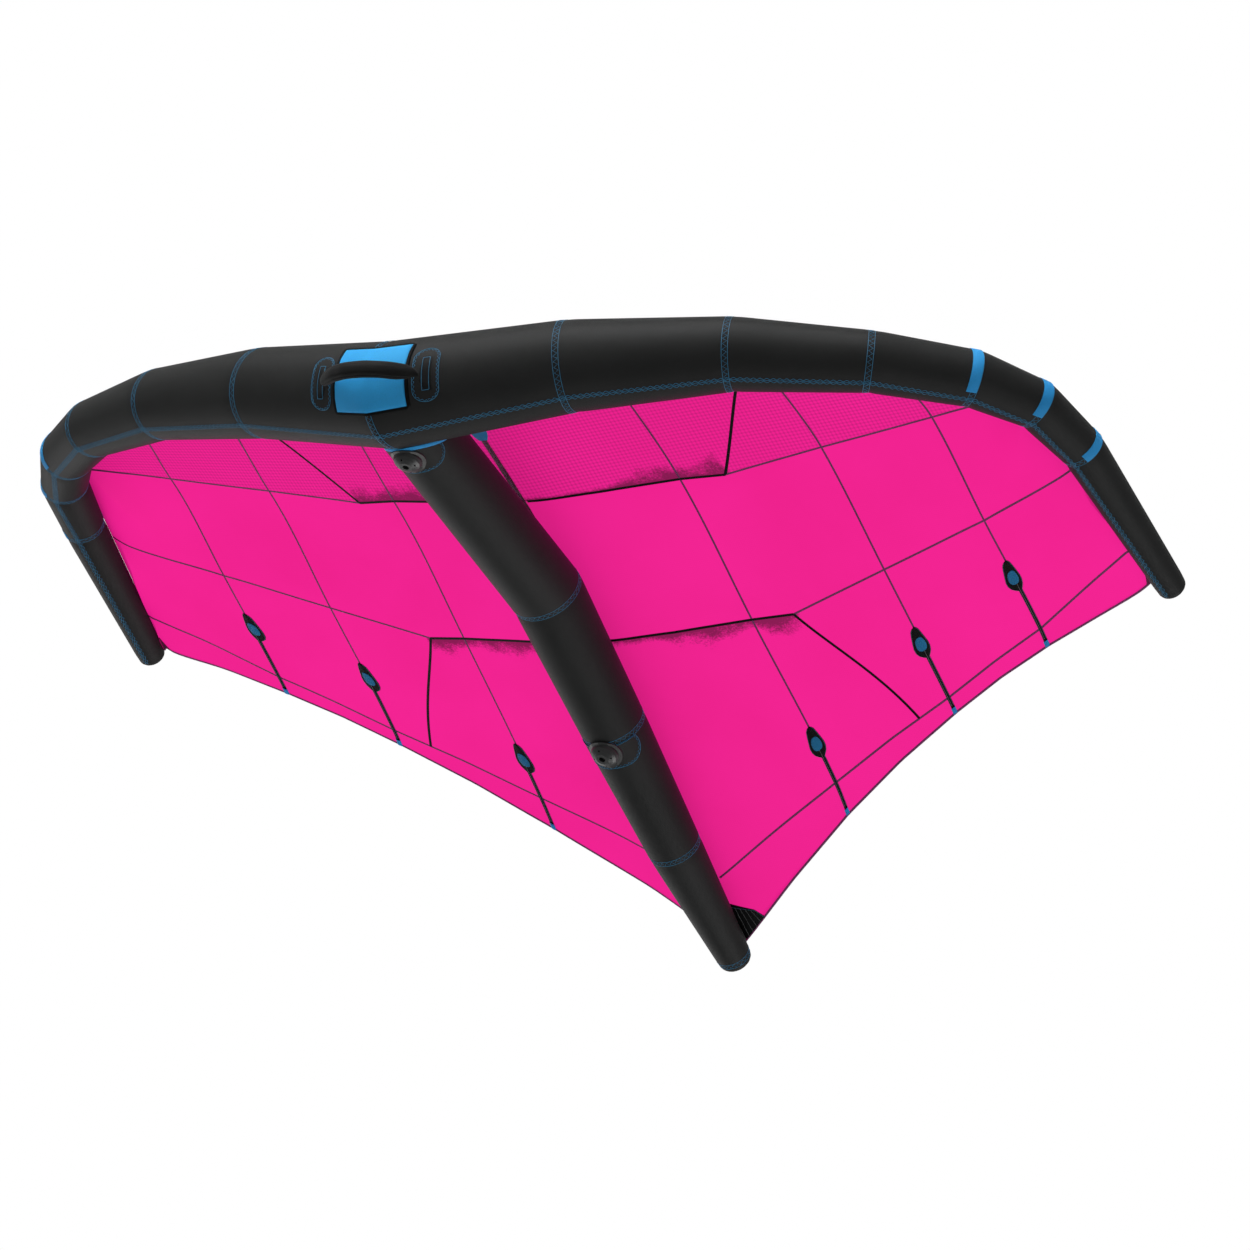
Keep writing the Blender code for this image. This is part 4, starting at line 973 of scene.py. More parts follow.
CURVES = [column_curve(column) for column in range(len(ATTACH_PLACES))]
MIDDLE_BACK = {line_name: LINES[line_name][0].y for line_name in LINE_ORDER}


def column_spot(line_name, share, column):
    """Point of a whole column inside a panel, share 0 at the panel's front and 1 at its back."""
    if column == LAST[line_name]:
        return LINES[line_name][column].copy()
    spot = hermite(*CURVES[column][line_name], share)
    if column == 0 and line_name != "A":
        first = MIDDLE_BACK[PREVIOUS[line_name]]
        back = first + (MIDDLE_BACK[line_name] - first) * share
        top = strut_top(back)
        spot = Vector((0, back, max(spot.z, top.z) if line_name == "B" and share < 0.4 else top.z))
    return spot


def catmull(before, start, end, after, share):
    """Smooth curve through start and end, its ways set by chord lengths."""
    first = max((start - before).length, GAP)
    span = max((end - start).length, GAP)
    last = max((after - end).length, GAP)
    start_way = ((start - before) / first * span + (end - start) / span * first) / (first + span)
    end_way = ((end - start) / span * last + (after - end) / last * span) / (span + last)
    return hermite(start, start_way * span, end, end_way * span, share)


def level_span(before, start, end, after, share):
    """Straight in plan between two columns, as a sewn seam runs, and smooth in height."""
    flat = start.lerp(end, share)
    return Vector((flat.x, flat.y, catmull(before, start, end, after, share).z))


def canopy_spot(line_name, share, s):
    """Lower face of the canopy at a share down a panel and a column place s."""
    last = LAST[line_name]
    column = min(int(s), last - 1)
    part = s - column
    row = {}
    for number in (column - 1, column, column + 1, column + 2):
        if number < 0:
            mirror = column_spot(line_name, share, -number)
            middle = column_spot(line_name, share, 0)
            row[number] = Vector((-mirror.x, middle.y * 2 - mirror.y, mirror.z))
        elif number <= last:
            row[number] = column_spot(line_name, share, number)
        elif number < len(ATTACH_PLACES):
            row[number] = attach_point(number)
        else:
            row[number] = row[number - 1] * 2 - row[number - 2]
    spot = level_span(row[column - 1], row[column], row[column + 1], row[column + 2], part)
    first_on_tube = 0 if line_name == "A" else LAST[PREVIOUS[line_name]]
    if column >= first_on_tube:
        place = between(ATTACH_PLACES, s)
        ends = []
        for number in (column - 1, column, column + 1, column + 2):
            held = attach_point(min(abs(number), len(ATTACH_PLACES) - 1))
            if number < 0:
                held = Vector((-held.x, attach_point(0).y * 2 - held.y, held.z))
            ends.append(held)
        drawn = level_span(*ends, part)
        true = attach_at(place)
        spot = spot + (true - drawn) * (1 - share) ** 2
    return spot


PANEL_ROWS = {"A": 30, "B": 16, "C": 16, "TE": 8}
COLUMN_PARTS = (8, 8, 5, 9, 6, 6, 6, 2, 3, 3, 3, 3, 2, 4, 3)


def column_places(last):
    places = []
    for column in range(last):
        parts = COLUMN_PARTS[column]
        places += [column + step / parts for step in range(parts)]
    return places + [float(last)]


def keep_off_tube(spot):
    """Push a canopy point out of the leading edge's round."""
    best = None
    for index in range(EDGE_COUNT):
        way = EDGE.ways[index]
        along = (spot - EDGE.points[index]).dot(way)
        share = min(max(along / EDGE.length(index), 0.0), 1.0)
        axis = EDGE.points[index].lerp(EDGE.points[index + 1], share)
        radius = EDGE.radii[index] * (1 - share) + EDGE.radii[index + 1] * share
        away = spot - axis
        depth = radius + CANOPY_LIFT * 0.7 - away.length
        if best is None or depth > best[0]:
            best = (depth, away)
    if best[0] > 0:
        return spot + best[1].normalized() * best[0]
    return spot


# Panel, reach in metres, middle column and half-width in columns of each dark fade. A fade lies
# along the back of the front panels and along the front of the others, up to the corner column.
FADES = (
    ("A", 0.080, 2.95, 0.70),
    ("A", 0.064, 1.80, 0.60),
    ("C", 0.064, 2.60, 0.62),
    ("C", 0.054, 1.35, 0.66),
)
CORNER_COLUMN = 3.0


def fade_value(line_name, s, away):
    """1 on the panel's faded edge, falling evenly to 0 at the fade's reach."""
    value = -1.0
    for panel, reach, peak, wide in FADES:
        if panel == line_name and s <= CORNER_COLUMN:
            bell = math.exp(-((s - peak) / wide) ** 2)
            value = max(value, 1.0 - away / (reach * bell + 0.004))
    return value


SMOOTH_ROUNDS = 14


def smooth_canopy(work):
    """Even out the sheet along its normals, held at its edges and on the strut."""
    free = [vert for vert in work.verts
            if not vert.is_boundary and abs(vert.co.x - ORIGIN.x) > STRUT_RADIUS]
    for _ in range(SMOOTH_ROUNDS):
        work.normal_update()
        moved = []
        for vert in free:
            mean = Vector((0, 0, 0))
            for edge in vert.link_edges:
                mean += edge.other_vert(vert).co
            away = mean / len(vert.link_edges) - vert.co
            moved.append(vert.co + vert.normal * away.dot(vert.normal) * 0.6)
        for vert, place in zip(free, moved):
            vert.co = place
    for vert in free:
        spot = vert.co - ORIGIN
        side = 1 if spot.x >= 0 else -1
        vert.co = sided(keep_off_tube(sided(spot, side)), side) + ORIGIN


HEM_TURNS = (11.0, 5.0)
HEM_LIFTS = (0.0004, 0.0008)


def canopy_sheet():
    """One continuous sheet from tip to tip, drawn panel by panel on shared seam rows."""
    work = bmesh.new()
    layer = work.loops.layers.uv.new("UVMap")
    front_layer = work.loops.layers.float.new("front")
    fade_layer = work.loops.layers.float.new("fade")
    for line_name in LINE_ORDER:
        places = column_places(LAST[line_name])
        rows = PANEL_ROWS[line_name]
        lattice = []
        walked = [0.0] * len(places)
        marks = []
        for number in range(rows + 1):
            share = (number / rows) ** (1.35 if line_name == "A" else 1.0)
            row = []
            mark_row = []
            for place_number, s in enumerate(places):
                spot = keep_off_tube(canopy_spot(line_name, share, s))
                if lattice:
                    walked[place_number] += (spot - lattice[-1][place_number][0]).length
                row.append((spot, walked[place_number]))
                mark_row.append(fade_value(line_name, s, walked[place_number]))
            lattice.append(row)
            marks.append(mark_row)
        if line_name == "A":
            for mark_row, row in zip(marks, lattice):
                for place_number, s in enumerate(places):
                    away = walked[place_number] - row[place_number][1]
                    mark_row[place_number] = fade_value("A", s, away)
        first_on_tube = 0 if line_name == "A" else LAST[PREVIOUS[line_name]]
        hem = [number for number, s in enumerate(places) if s >= first_on_tube]
        for side in (1, -1):
            verts = [[work.verts.new(sided(spot, side) + ORIGIN) for spot, _ in row]
                     for row in lattice]
            flap = []
            for turn, lift in zip(HEM_TURNS, HEM_LIFTS):
                line = []
                for number in hem:
                    place = between(ATTACH_PLACES, places[number])
                    spot = EDGE.at(place, leave_angle(place) - turn, lift)
                    line.append(work.verts.new(sided(spot, side) + ORIGIN))
                flap.append(line)
            flap.append([verts[0][number] for number in hem])
            bare = [[-1.0] * len(hem)] * len(flap)
            for lines, fades in ((verts, marks), (flap, bare)):
                for row in range(len(lines) - 1):
                    for step in range(len(lines[row]) - 1):
                        spots = ((row, step), (row, step + 1), (row + 1, step + 1), (row + 1, step))
                        made = work.faces.new([lines[r][c] for r, c in spots])
                        for loop, (r, c) in zip(made.loops, spots):
                            spot = loop.vert.co
                            loop[layer].uv = (spot.x, spot.y)
                            loop[front_layer] = 1.0 if line_name == "A" else 0.0
                            loop[fade_layer] = fades[r][c]
    bmesh.ops.remove_doubles(work, verts=work.verts, dist=0.0002)
    bmesh.ops.dissolve_degenerate(work, edges=work.edges, dist=0.00005)
    bmesh.ops.recalc_face_normals(work, faces=work.faces)
    up = sum(face.normal.z * face.calc_area() for face in work.faces)
    if up < 0:
        bmesh.ops.reverse_faces(work, faces=work.faces)
    smooth_canopy(work)
    work.normal_update()
    drawn = BVHTree.FromBMesh(work)
    area = sum(face.calc_area() for face in work.faces)
    mesh = bpy.data.meshes.new("canopy_sheet")
    work.to_mesh(mesh)
    work.free()
    made = bpy.data.objects.new("canopy_sheet", mesh)
    bpy.context.scene.collection.objects.link(made)
    mesh.materials.append(CANOPY_CLOTH)
    for face in mesh.polygons:
        face.use_smooth = True
    thick = made.modifiers.new("thickness", "SOLIDIFY")
    thick.thickness = CANOPY_THICK
    thick.offset = 1.0
    return made, area, drawn


CANOPY, CANOPY_AREA, CANOPY_TREE = canopy_sheet()


def settle(spot, below):
    """Point below the finished canopy nearest to a drawn spot, and the way down from it."""
    place, normal, _, _ = CANOPY_TREE.find_nearest(spot + ORIGIN)
    if normal.z < 0:
        normal = -normal
    return place - ORIGIN - normal * below, -normal


def under_canopy(line_name, share, s, below):
    return settle(canopy_spot(line_name, share, s), below)


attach(CANOPY, WING)
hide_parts(*[f"canopy_{panel}_{side_name}" for panel in
                      ("front", "middle", "rear", "trailing") for side_name in ("left", "right")])


def canopy_route(steps, side, below=GAP):
    """Route under the canopy through steps of (panel, share, column place)."""
    return sided_route(route_of([under_canopy(*step, below) for step in steps]), side)


def line_steps(line_name, first, last, step=0.12):
    count = max(2, round((last - first) / step))
    return [(line_name, 1.0, first + (last - first) * number / count)
            for number in range(count + 1)]


def leg_steps(line_name, s_front, s_back, first=0.0, last=1.0, count=26):
    return [(line_name, first + (last - first) * number / count,
             s_front + (s_back - s_front) * (first + (last - first) * number / count))
            for number in range(count + 1)]


def tape(name, routes, stuff, width, high=0.0003):
    made = strips(name, routes, stuff, width / 2, high)
    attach(made, WING)


SEAM_WIDTH = 0.0058
CHORD_WIDTH = 0.0052
BLACK_WIDTH = 0.0076
LEG_A_COLUMN = 4.34
LEG_C_COLUMN = 3.49
seam_routes = []
chord_routes = []
black_routes = []
hem_routes = []
for side in (1, -1):
    seam_routes.append(canopy_route(line_steps("A", CORNER_COLUMN, LAST["A"] - 0.02), side))
    seam_routes.append(canopy_route(line_steps("B", CORNER_COLUMN, LAST["B"] - 0.02), side))
    seam_routes.append(canopy_route(line_steps("C", 0.15, LAST["C"] - 0.02), side))
    hem_routes.append(canopy_route(line_steps("TE", 0.05, LAST["TE"] - 0.03), side, 0.0))
    for column in (2, 4, 6):
        for line_name in LINE_ORDER:
            first = 0.10 if line_name == "A" else 0.0
            chord_routes.append(canopy_route(leg_steps(line_name, column, column, first), side))
    black_routes.append(canopy_route(line_steps("A", 0.06, CORNER_COLUMN), side, GAP * 1.5))
    black_routes.append(canopy_route(leg_steps("A", LEG_A_COLUMN, CORNER_COLUMN, 0.30), side,
                                     GAP * 1.5))
    black_routes.append(canopy_route(line_steps("B", 0.15, CORNER_COLUMN), side, GAP * 1.5))
    black_routes.append(canopy_route(leg_steps("C", CORNER_COLUMN, LEG_C_COLUMN), side, GAP * 1.5))
tape("canopy_cross_seams", seam_routes, PURPLE_TAPE, SEAM_WIDTH)
tape("canopy_chord_seams", chord_routes, PURPLE_TAPE, CHORD_WIDTH)
tape("canopy_black_lines", black_routes, BLACK_TAPE, BLACK_WIDTH)
tape("canopy_hem", hem_routes, PURPLE_TAPE, 0.0060, 0.0005)
middle_steps = leg_steps("A", 0.0, 0.0, 0.10) + leg_steps("B", 0.0, 0.0, 0.05, 0.30, 8)
tape("canopy_middle_seam", [canopy_route(middle_steps, 1)], DARK_PINK, 0.0160)
tape("canopy_middle_line", [canopy_route(middle_steps, 1, GAP * 2.5)], PURPLE_TAPE, 0.0024)


# Battens' sleeves and patches below the canopy


def column_track(column):
    """Steps of (reach forward of the trailing edge, panel, share) along a column."""
    track = []
    walked = 0.0
    last = None
    for line_name in ("TE", "C"):
        count = 40
        for number in range(count, -1, -1):
            share = number / count
            spot = canopy_spot(line_name, share, column)
            if last is not None:
                walked += (spot - last).length
            track.append((walked, line_name, share))
            last = spot
    return track


TRACKS = {column: column_track(column) for column in (2, 4, 6)}


def under_column(column, reach, across, below):
    """Point and downward normal below the canopy beside a column."""
    track = TRACKS[column]
    place = track[-1]
    for here, after in zip(track, track[1:]):
        if reach <= after[0]:
            if here[1] != after[1]:
                here = (here[0], after[1], 1.0)
            part = (reach - here[0]) / max(after[0] - here[0], 1e-9)
            place = (reach, after[1], here[2] + (after[2] - here[2]) * part)
            break
    _, line_name, share = place
    step = 0.01
    unit = (canopy_spot(line_name, share, column + step)
            - canopy_spot(line_name, share, column - step)).length / (2 * step)
    s = column + across / unit
    return under_canopy(line_name, share, s, below)


SLEEVE_LENGTH = 0.276
SLEEVE_HALF = 0.0062
SLEEVE_START = 0.0010
DROP_LENGTH = 0.096
DROP_HALF = 0.0250
DROP_REACH_SHARES = (0.0, 0.03, 0.10, 0.22, 0.42, 0.60, 0.74, 0.86, 0.94, 1.0)
DROP_WIDTH_SHARES = (0.05, 0.30, 0.52, 0.66, 0.85, 1.00, 0.98, 0.80, 0.52, 0.25)
LEAF_START_SHARE = 0.33
LEAF_STOP_SHARE = 0.76
LEAF_HALF = 0.0165
ACROSS_SHARES = (-1.0, -0.93, -0.70, -0.35, 0.0, 0.35, 0.70, 0.93, 1.0)
ACROSS_THICK = (0.0003, 0.0011, 0.0014, 0.0024, 0.0028, 0.0024, 0.0014, 0.0011, 0.0003)
SLEEVE_BELOW = 0.0004


def smooth_table(places, values, place):
    """Value of a table at a place, drawn straight between its entries."""
    for number in range(1, len(places)):
        if place <= places[number]:
            share = (place - places[number - 1]) / (places[number] - places[number - 1])
            return values[number - 1] * (1 - share) + values[number] * share
    return values[-1]


def sleeve_half(reach):
    from_tip = (SLEEVE_LENGTH - reach) / DROP_LENGTH
    if from_tip >= 1.0:
        return SLEEVE_HALF
    return max(DROP_HALF * smooth_table(DROP_REACH_SHARES, DROP_WIDTH_SHARES, from_tip), SLEEVE_HALF
               if from_tip > 0.9 else 0.0008)


def sleeve_reaches():
    strip = [SLEEVE_START + (SLEEVE_LENGTH - DROP_LENGTH - SLEEVE_START) * number / 16
             for number in range(16)]
    head = [SLEEVE_LENGTH - DROP_LENGTH + DROP_LENGTH * number / 30 for number in range(31)]
    return strip + head


def flat_piece(name, rows, thick_rows, stuff):
    """Thin piece from rows of (point, normal), each lifted by its own thickness."""
    outer = [[point + normal * thick for (point, normal), thick in zip(row, thicks)]
             for row, thicks in zip(rows, thick_rows)]
    inner = [[point for point, _ in row] for row in rows]
    made = sheet_body(name, outer, inner, stuff, False, metre_spans(outer))
    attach(made, WING)
    return made


def sided_rows(rows, side):
    return [[(sided(point, side), sided(normal, side)) for point, normal in row] for row in rows]



for number, column in enumerate((2, 4, 6), 1):
    rows = []
    for reach in sleeve_reaches():
        half = sleeve_half(reach)
        rows.append([under_column(column, reach, half * share, SLEEVE_BELOW)
                     for share in ACROSS_SHARES])
    thick_rows = [ACROSS_THICK for _ in rows]
    leaf_rows = []
    leaf_thicks = []
    leaf_length = DROP_LENGTH * (LEAF_STOP_SHARE - LEAF_START_SHARE)
    for step in range(15):
        turn = math.pi * step / 14
        share = 0.5 - 0.5 * math.cos(turn)
        reach = SLEEVE_LENGTH - DROP_LENGTH * LEAF_STOP_SHARE + leaf_length * share
        wide = LEAF_HALF * math.sin(turn) ** 0.7 * (1.08 - 0.30 * share) + 0.0002
        row = []
        for across in (-1.0, -0.85, -0.4, 0.0, 0.4, 0.85, 1.0):
            half = sleeve_half(reach)
            base = smooth_table(ACROSS_SHARES, ACROSS_THICK, wide * across / half)
            row.append(under_column(column, reach, wide * across, SLEEVE_BELOW + base - 0.0002))
        leaf_rows.append(row)
        leaf_thicks.append([0.0004, 0.0009, 0.0011, 0.0011, 0.0011, 0.0009, 0.0004])
    tab_rows = [[under_column(column, reach, SLEEVE_HALF * 1.12 * across, SLEEVE_BELOW)
                 for across in (-1.0, -0.6, 0.0, 0.6, 1.0)]
                for reach in (0.0002, 0.004, 0.010, 0.0165)]
    tab_thicks = [[0.0022, 0.0034, 0.0038, 0.0034, 0.0022]] * 4
    reaches = [reach for reach in sleeve_reaches() if reach > 0.018]
    edge_routes = []
    for sign in (-1, 1):
        steps = []
        for reach in reaches[:-1]:
            half = sleeve_half(reach)
            steps.append(under_column(column, reach, sign * max(half - 0.0016, 0.0004),
                                      SLEEVE_BELOW + 0.0011))
        edge_routes.append(route_of(steps))
    core_steps = [under_column(column, reach, -0.0012, SLEEVE_BELOW + 0.0027)
                  for reach in reaches
                  if reach < SLEEVE_LENGTH - DROP_LENGTH * LEAF_STOP_SHARE + 0.004]
    core_route = route_of(core_steps)
    for side, side_name in SIDE_NAMES:
        label = f"{side_name}_{number}"
        sleeve = flat_piece("batten_pocket_" + label, sided_rows(rows, side), thick_rows,
                            POCKET_CLOTH)
        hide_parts("batten_sleeve_" + label)
        leaf = flat_piece("batten_leaf_" + label, sided_rows(leaf_rows, side), leaf_thicks,
                          LEAF_CLOTH)
        tab = flat_piece("batten_tab_" + label, sided_rows(tab_rows, side), tab_thicks,
                         BLUE_TAPE)
        edges = sewn("batten_edge_stitches_" + label,
                     [sided_route(route, side) for route in edge_routes], TEAL_THREAD, 0.0008, 0.0005)
        core = sewn("batten_core_line_" + label, [sided_route(core_route, side)], GREY_THREAD,
                    0.0007, 0.0004)

# Blue tab on the canopy's middle seam, just behind the tube.
TAB_SHARES = (0.15, 0.22, 0.29, 0.36, 0.43, 0.50, 0.57, 0.605, 0.625, 0.650)
TAB_HALF = 0.0225
TAB_WIDTH_SHARES = (1.0, 1.0, 1.0, 1.0, 1.0, 1.0, 1.0, 1.0, 0.84, 0.48)
tab_unit = (canopy_spot("A", 0.3, 0.02) - canopy_spot("A", 0.3, 0.0)).length / 0.02
rows = []
for share, wide in zip(TAB_SHARES, TAB_WIDTH_SHARES):
    row = []
    for across in (-1.0, -0.5, 0.0, 0.5, 1.0):
        s = abs(across) * wide * TAB_HALF / tab_unit
        spot, down = under_canopy("A", share, s, 0.0014)
        sign = -1 if across < 0 else 1
        row.append((sided(spot, sign), sided(down, sign)))
    rows.append(row)
middle_tab = flat_piece("canopy_middle_tab", rows, [[0.0010] * 5] * len(rows), BLUE_TAPE)
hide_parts("middle_tab")


def canopy_over(x, y):
    """Column place and share of the trailing panel above a plan point."""
    s = x / LINES["TE"][1].x
    share = 0.5
    for _ in range(6):
        low, high = 0.0, 1.0
        for _ in range(22):
            share = (low + high) / 2
            if canopy_spot("TE", share, s).y < y:
                low = share
            else:
                high = share
        s = max(s * x / max(canopy_spot("TE", share, s).x, 1e-6), 0.0)
    return s, share


# Stiff corner patches beside the strut's end.
CORNER_INNER_X = 0.022
CORNER_INNER_Y = 1.858
CORNER_OUTER = ((0.0800, 1.8900), (0.0985, 1.9210))
CORNER_ROWS = 10


def corner_rows():
    """Rows from the front edge of a corner patch to the trailing edge."""
    rows = []
    stop_inner = canopy_spot("TE", 0.995, CORNER_INNER_X / LINES["TE"][1].x)
    stop_outer = canopy_spot("TE", 0.995, CORNER_OUTER[1][0] / LINES["TE"][1].x)
    front_inner = Vector((CORNER_INNER_X, CORNER_INNER_Y, 0))
    front_outer = Vector((*CORNER_OUTER[0], 0))
    for number in range(CORNER_ROWS + 1):
        part = number / CORNER_ROWS
        left = front_inner.lerp(stop_inner, part)
        right = front_outer.lerp(stop_outer, part)
        row = []
        for across in (0.0, 0.02, 0.2, 0.4, 0.6, 0.8, 0.98, 1.0):
            spot = left.lerp(right, across)
            s, share = canopy_over(spot.x, spot.y)
            row.append(under_canopy("TE", share, s, 0.0006))
        rows.append(row)
    return rows


rows = corner_rows()
corner_thicks = [[0.0003, 0.0013, 0.0013, 0.0013, 0.0013, 0.0013, 0.0013, 0.0003] for _ in rows]
corner_thicks[0] = [0.0003] * 8
rib_routes = []
for across in range(1, 7):
    steps = [rows[number][across] for number in range(1, CORNER_ROWS + 1)]
    rib_routes.append(route_of(steps, 0.0012))
edge_steps = ([rows[1][across] for across in range(1, 7)]
              + [rows[number][6] for number in range(2, CORNER_ROWS + 1)])
edge_route = route_of(edge_steps, 0.0014)
for side, side_name in SIDE_NAMES:
    patch = flat_piece("canopy_corner_" + side_name, sided_rows(rows, side), corner_thicks,
                       POCKET_CLOTH)
    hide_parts("corner_patch_" + side_name)
    ribs = sewn("canopy_corner_ribs_" + side_name,
                [sided_route(route, side) for route in rib_routes], GREY_THREAD, 0.0006, 0.0005)
    edge = sewn("canopy_corner_stitches_" + side_name, [sided_route(edge_route, side)],
                TEAL_THREAD, 0.0008, 0.0005)

# Dark corner pieces where the trailing edge meets the tube: a small real patch, drawn wider as
# painted shade over the shaded facet of the canopy's corner.
TIP_ROWS = 6
rows = []
for number in range(TIP_ROWS + 1):
    part = number / TIP_ROWS
    row = []
    for step in range(9):
        along = step / 8
        s = (13.3 + 1.0 * along) * (1 - part) + (13.3 + 1.55 * along) * part
        share = (1.0 - 0.42 * along) * (1 - part) + 0.998 * part
        row.append(under_canopy("TE", share, s, 0.0006))
    rows.append(row)
for side, side_name in SIDE_NAMES:
    patch = flat_piece("canopy_tip_patch_and_shade_" + side_name, sided_rows(rows, side),
                       [[0.0010] * 9] * len(rows), DARK_PINK)


# Collar and the moulded bases' patches on the strut

COLLAR_WIDTH = 0.0120
COLLAR_WALL = 0.0012
outer = []
inner = []
for share, drop in ((0.0, 0.5), (0.1, 0.0), (0.5, 0.0), (0.9, 0.0), (1.0, 0.7)):
    row = []
    low = []
    for step in range(AROUND):
        angle = 360.0 * step / AROUND
        first = strut_start(angle, GAP * 2, GAP)
        place = first + COLLAR_WIDTH * share / STRUT.length(0)
        row.append(STRUT.at(place, angle, GAP + COLLAR_WALL * (1 - drop)))
        low.append(STRUT.at(place, angle, 0.0))
    outer.append(row)
    inner.append(low)
collar = sheet_body("strut_blue_collar", outer, inner, BLUE_TAPE, True, metre_spans(outer))
fit(collar, "strut_collar")


def rounded_path(half_u, half_v, radius, inset, step):
    """Closed path of (u, v, out_u, out_v) round a rounded rectangle."""
    path = []
    reach = radius - inset
    corners = ((half_u - radius, half_v - radius, 0.0), (-(half_u - radius), half_v - radius, 90.0),
               (-(half_u - radius), -(half_v - radius), 180.0),
               (half_u - radius, -(half_v - radius), 270.0))
    arc_count = max(3, round(reach * math.pi / 2 / step))
    for number, (centre_u, centre_v, start) in enumerate(corners):
        for part in range(arc_count + 1):
            turn = math.radians(start + 90.0 * part / arc_count)
            path.append((centre_u + reach * math.cos(turn), centre_v + reach * math.sin(turn),
                         math.cos(turn), math.sin(turn)))
        last = path[-1]
        after = corners[(number + 1) % 4]
        turn = math.radians(after[2])
        end = (after[0] + reach * math.cos(turn), after[1] + reach * math.sin(turn))
        gap_length = math.hypot(end[0] - last[0], end[1] - last[1])
        count = int(gap_length / step)
        for part in range(1, count):
            share = part / count
            path.append((last[0] + (end[0] - last[0]) * share,
                         last[1] + (end[1] - last[1]) * share, last[2], last[3]))
    return path


def zigzag_path(path, half):
    return [(u + out_u * half * (1 if number % 2 else -1),
             v + out_v * half * (1 if number % 2 else -1), out_u, out_v)
            for number, (u, v, out_u, out_v) in enumerate(path)]


def path_route(path, surface, lift, keep=None):
    """Closed route of a path on a surface, or the longest stretch of it that is kept."""
    steps = [(u, v) for u, v, _, _ in path]
    flags = [keep is None or keep(u, v) for u, v in steps]
    if all(flags):
        return route_of([surface(u, v, lift) for u, v in steps], closed=True)
    first = next(number for number in range(len(flags)) if not flags[number - 1] and flags[number])
    order = steps[first:] + steps[:first]
    kept = []
    for u, v in order:
        if not keep(u, v):
            break
        kept.append(surface(u, v, lift))
    return route_of(kept)


PATCH_ROWS = 28
PATCH_LIFT = 0.0002


def rounded_rows(half_u, half_v, radius, surface, limit=None):
    """Rows across a rounded rectangle on a surface, for a thin sewn patch."""
    rows = []
    for number in range(PATCH_ROWS + 1):
        v = -half_v * math.cos(math.pi * number / PATCH_ROWS)
        beyond = max(abs(v) - (half_v - radius), 0.0)
        wide = half_u - radius + math.sqrt(max(radius * radius - beyond * beyond, 0.0))
        row = []
        for across in (-1.0, -0.975, -0.75, -0.5, -0.25, 0.0, 0.25, 0.5, 0.75, 0.975, 1.0):
            u = wide * across
            if limit is not None:
                u = max(u, limit(v) + across * 0.0004)
            row.append(surface(u, v, PATCH_LIFT))
        rows.append(row)
    thick = [0.0003] + [0.0010] * 9 + [0.0003]
    thicks = [thick for _ in rows]
    thicks[0] = [0.0003] * 11
    thicks[-1] = [0.0003] * 11
    return rows, thicks


def strut_surface(centre_place, centre_angle):
    """Surface whose u runs back along the strut and v round it, in metres."""
    index = STRUT.whole(centre_place)
    length = STRUT.length(index)
    radius = STRUT.radius(centre_place)

    def surface(u, v, lift):
        place = min(max(centre_place + u / length, index), index + 0.9999)
        angle = centre_angle + math.degrees(v / radius)
        return STRUT.at(place, angle, lift), STRUT.outward(place, angle)

    return surface


def strut_place(reach_back):
    for index, (here, after) in enumerate(zip(STRUT_POINTS, STRUT_POINTS[1:])):
        if reach_back <= after.y:
            return index + (reach_back - here.y) / (after.y - here.y)
    return STRUT_COUNT - 0.001


BASE_FRONT_REACH = 0.1295
BASE_REAR_REACH = 1.2230
BASE_PATCH_HALF = 0.050
BASE_PATCH_ARC = 0.0960
STITCH_HALF = 0.0026
front_place = strut_place(STRUT_POINTS[0].y + BASE_FRONT_REACH * STRUT.ways[0].y)
rear_place = strut_place(BASE_REAR_REACH)
for label, place in (("front", front_place), ("rear", rear_place)):
    surface = strut_surface(place, 90.0)
    length = STRUT.length(STRUT.whole(place))

    def limit(v, place=place, length=length, label=label):
        if label == "rear":
            return -1.0
        angle = 90.0 + math.degrees(v / STRUT.radius(place))
        return (strut_start(angle) - place) * length + COLLAR_WIDTH * 0.98

    def keep(u, v, limit=limit):
        return u > limit(v)

    rows, thicks = rounded_rows(BASE_PATCH_HALF, BASE_PATCH_ARC, BASE_PATCH_HALF, surface, limit)
    patch = flat_piece(label + "_base_cloth", rows, thicks, TUBE_CLOTH)
    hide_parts(label + "_base_patch")
    outline = rounded_path(BASE_PATCH_HALF, BASE_PATCH_ARC, BASE_PATCH_HALF, 0.0014, 0.004)
    inner_path = rounded_path(BASE_PATCH_HALF, BASE_PATCH_ARC, BASE_PATCH_HALF, 0.0052, 0.0052)
    sewn(label + "_base_stitches",
         [path_route(outline, surface, 0.0013, keep),
          path_route(zigzag_path(inner_path, STITCH_HALF), surface, 0.0013, keep)])


# Knuckle pad, grip and its patches on the leading edge


def edge_surface(centre_angle, side=None):
    """Surface whose u runs sideways from the middle and v round the tube, in metres."""

    def surface(u, v, lift):
        here = side if side is not None else (1 if u >= 0 else -1)
        place = abs(u) / RING_POINTS[1].x
        angle = centre_angle + math.degrees(v / TUBE_RADIUS)
        return sided(EDGE.at(place, angle, lift), here), sided(EDGE.outward(place, angle), here)

    return surface


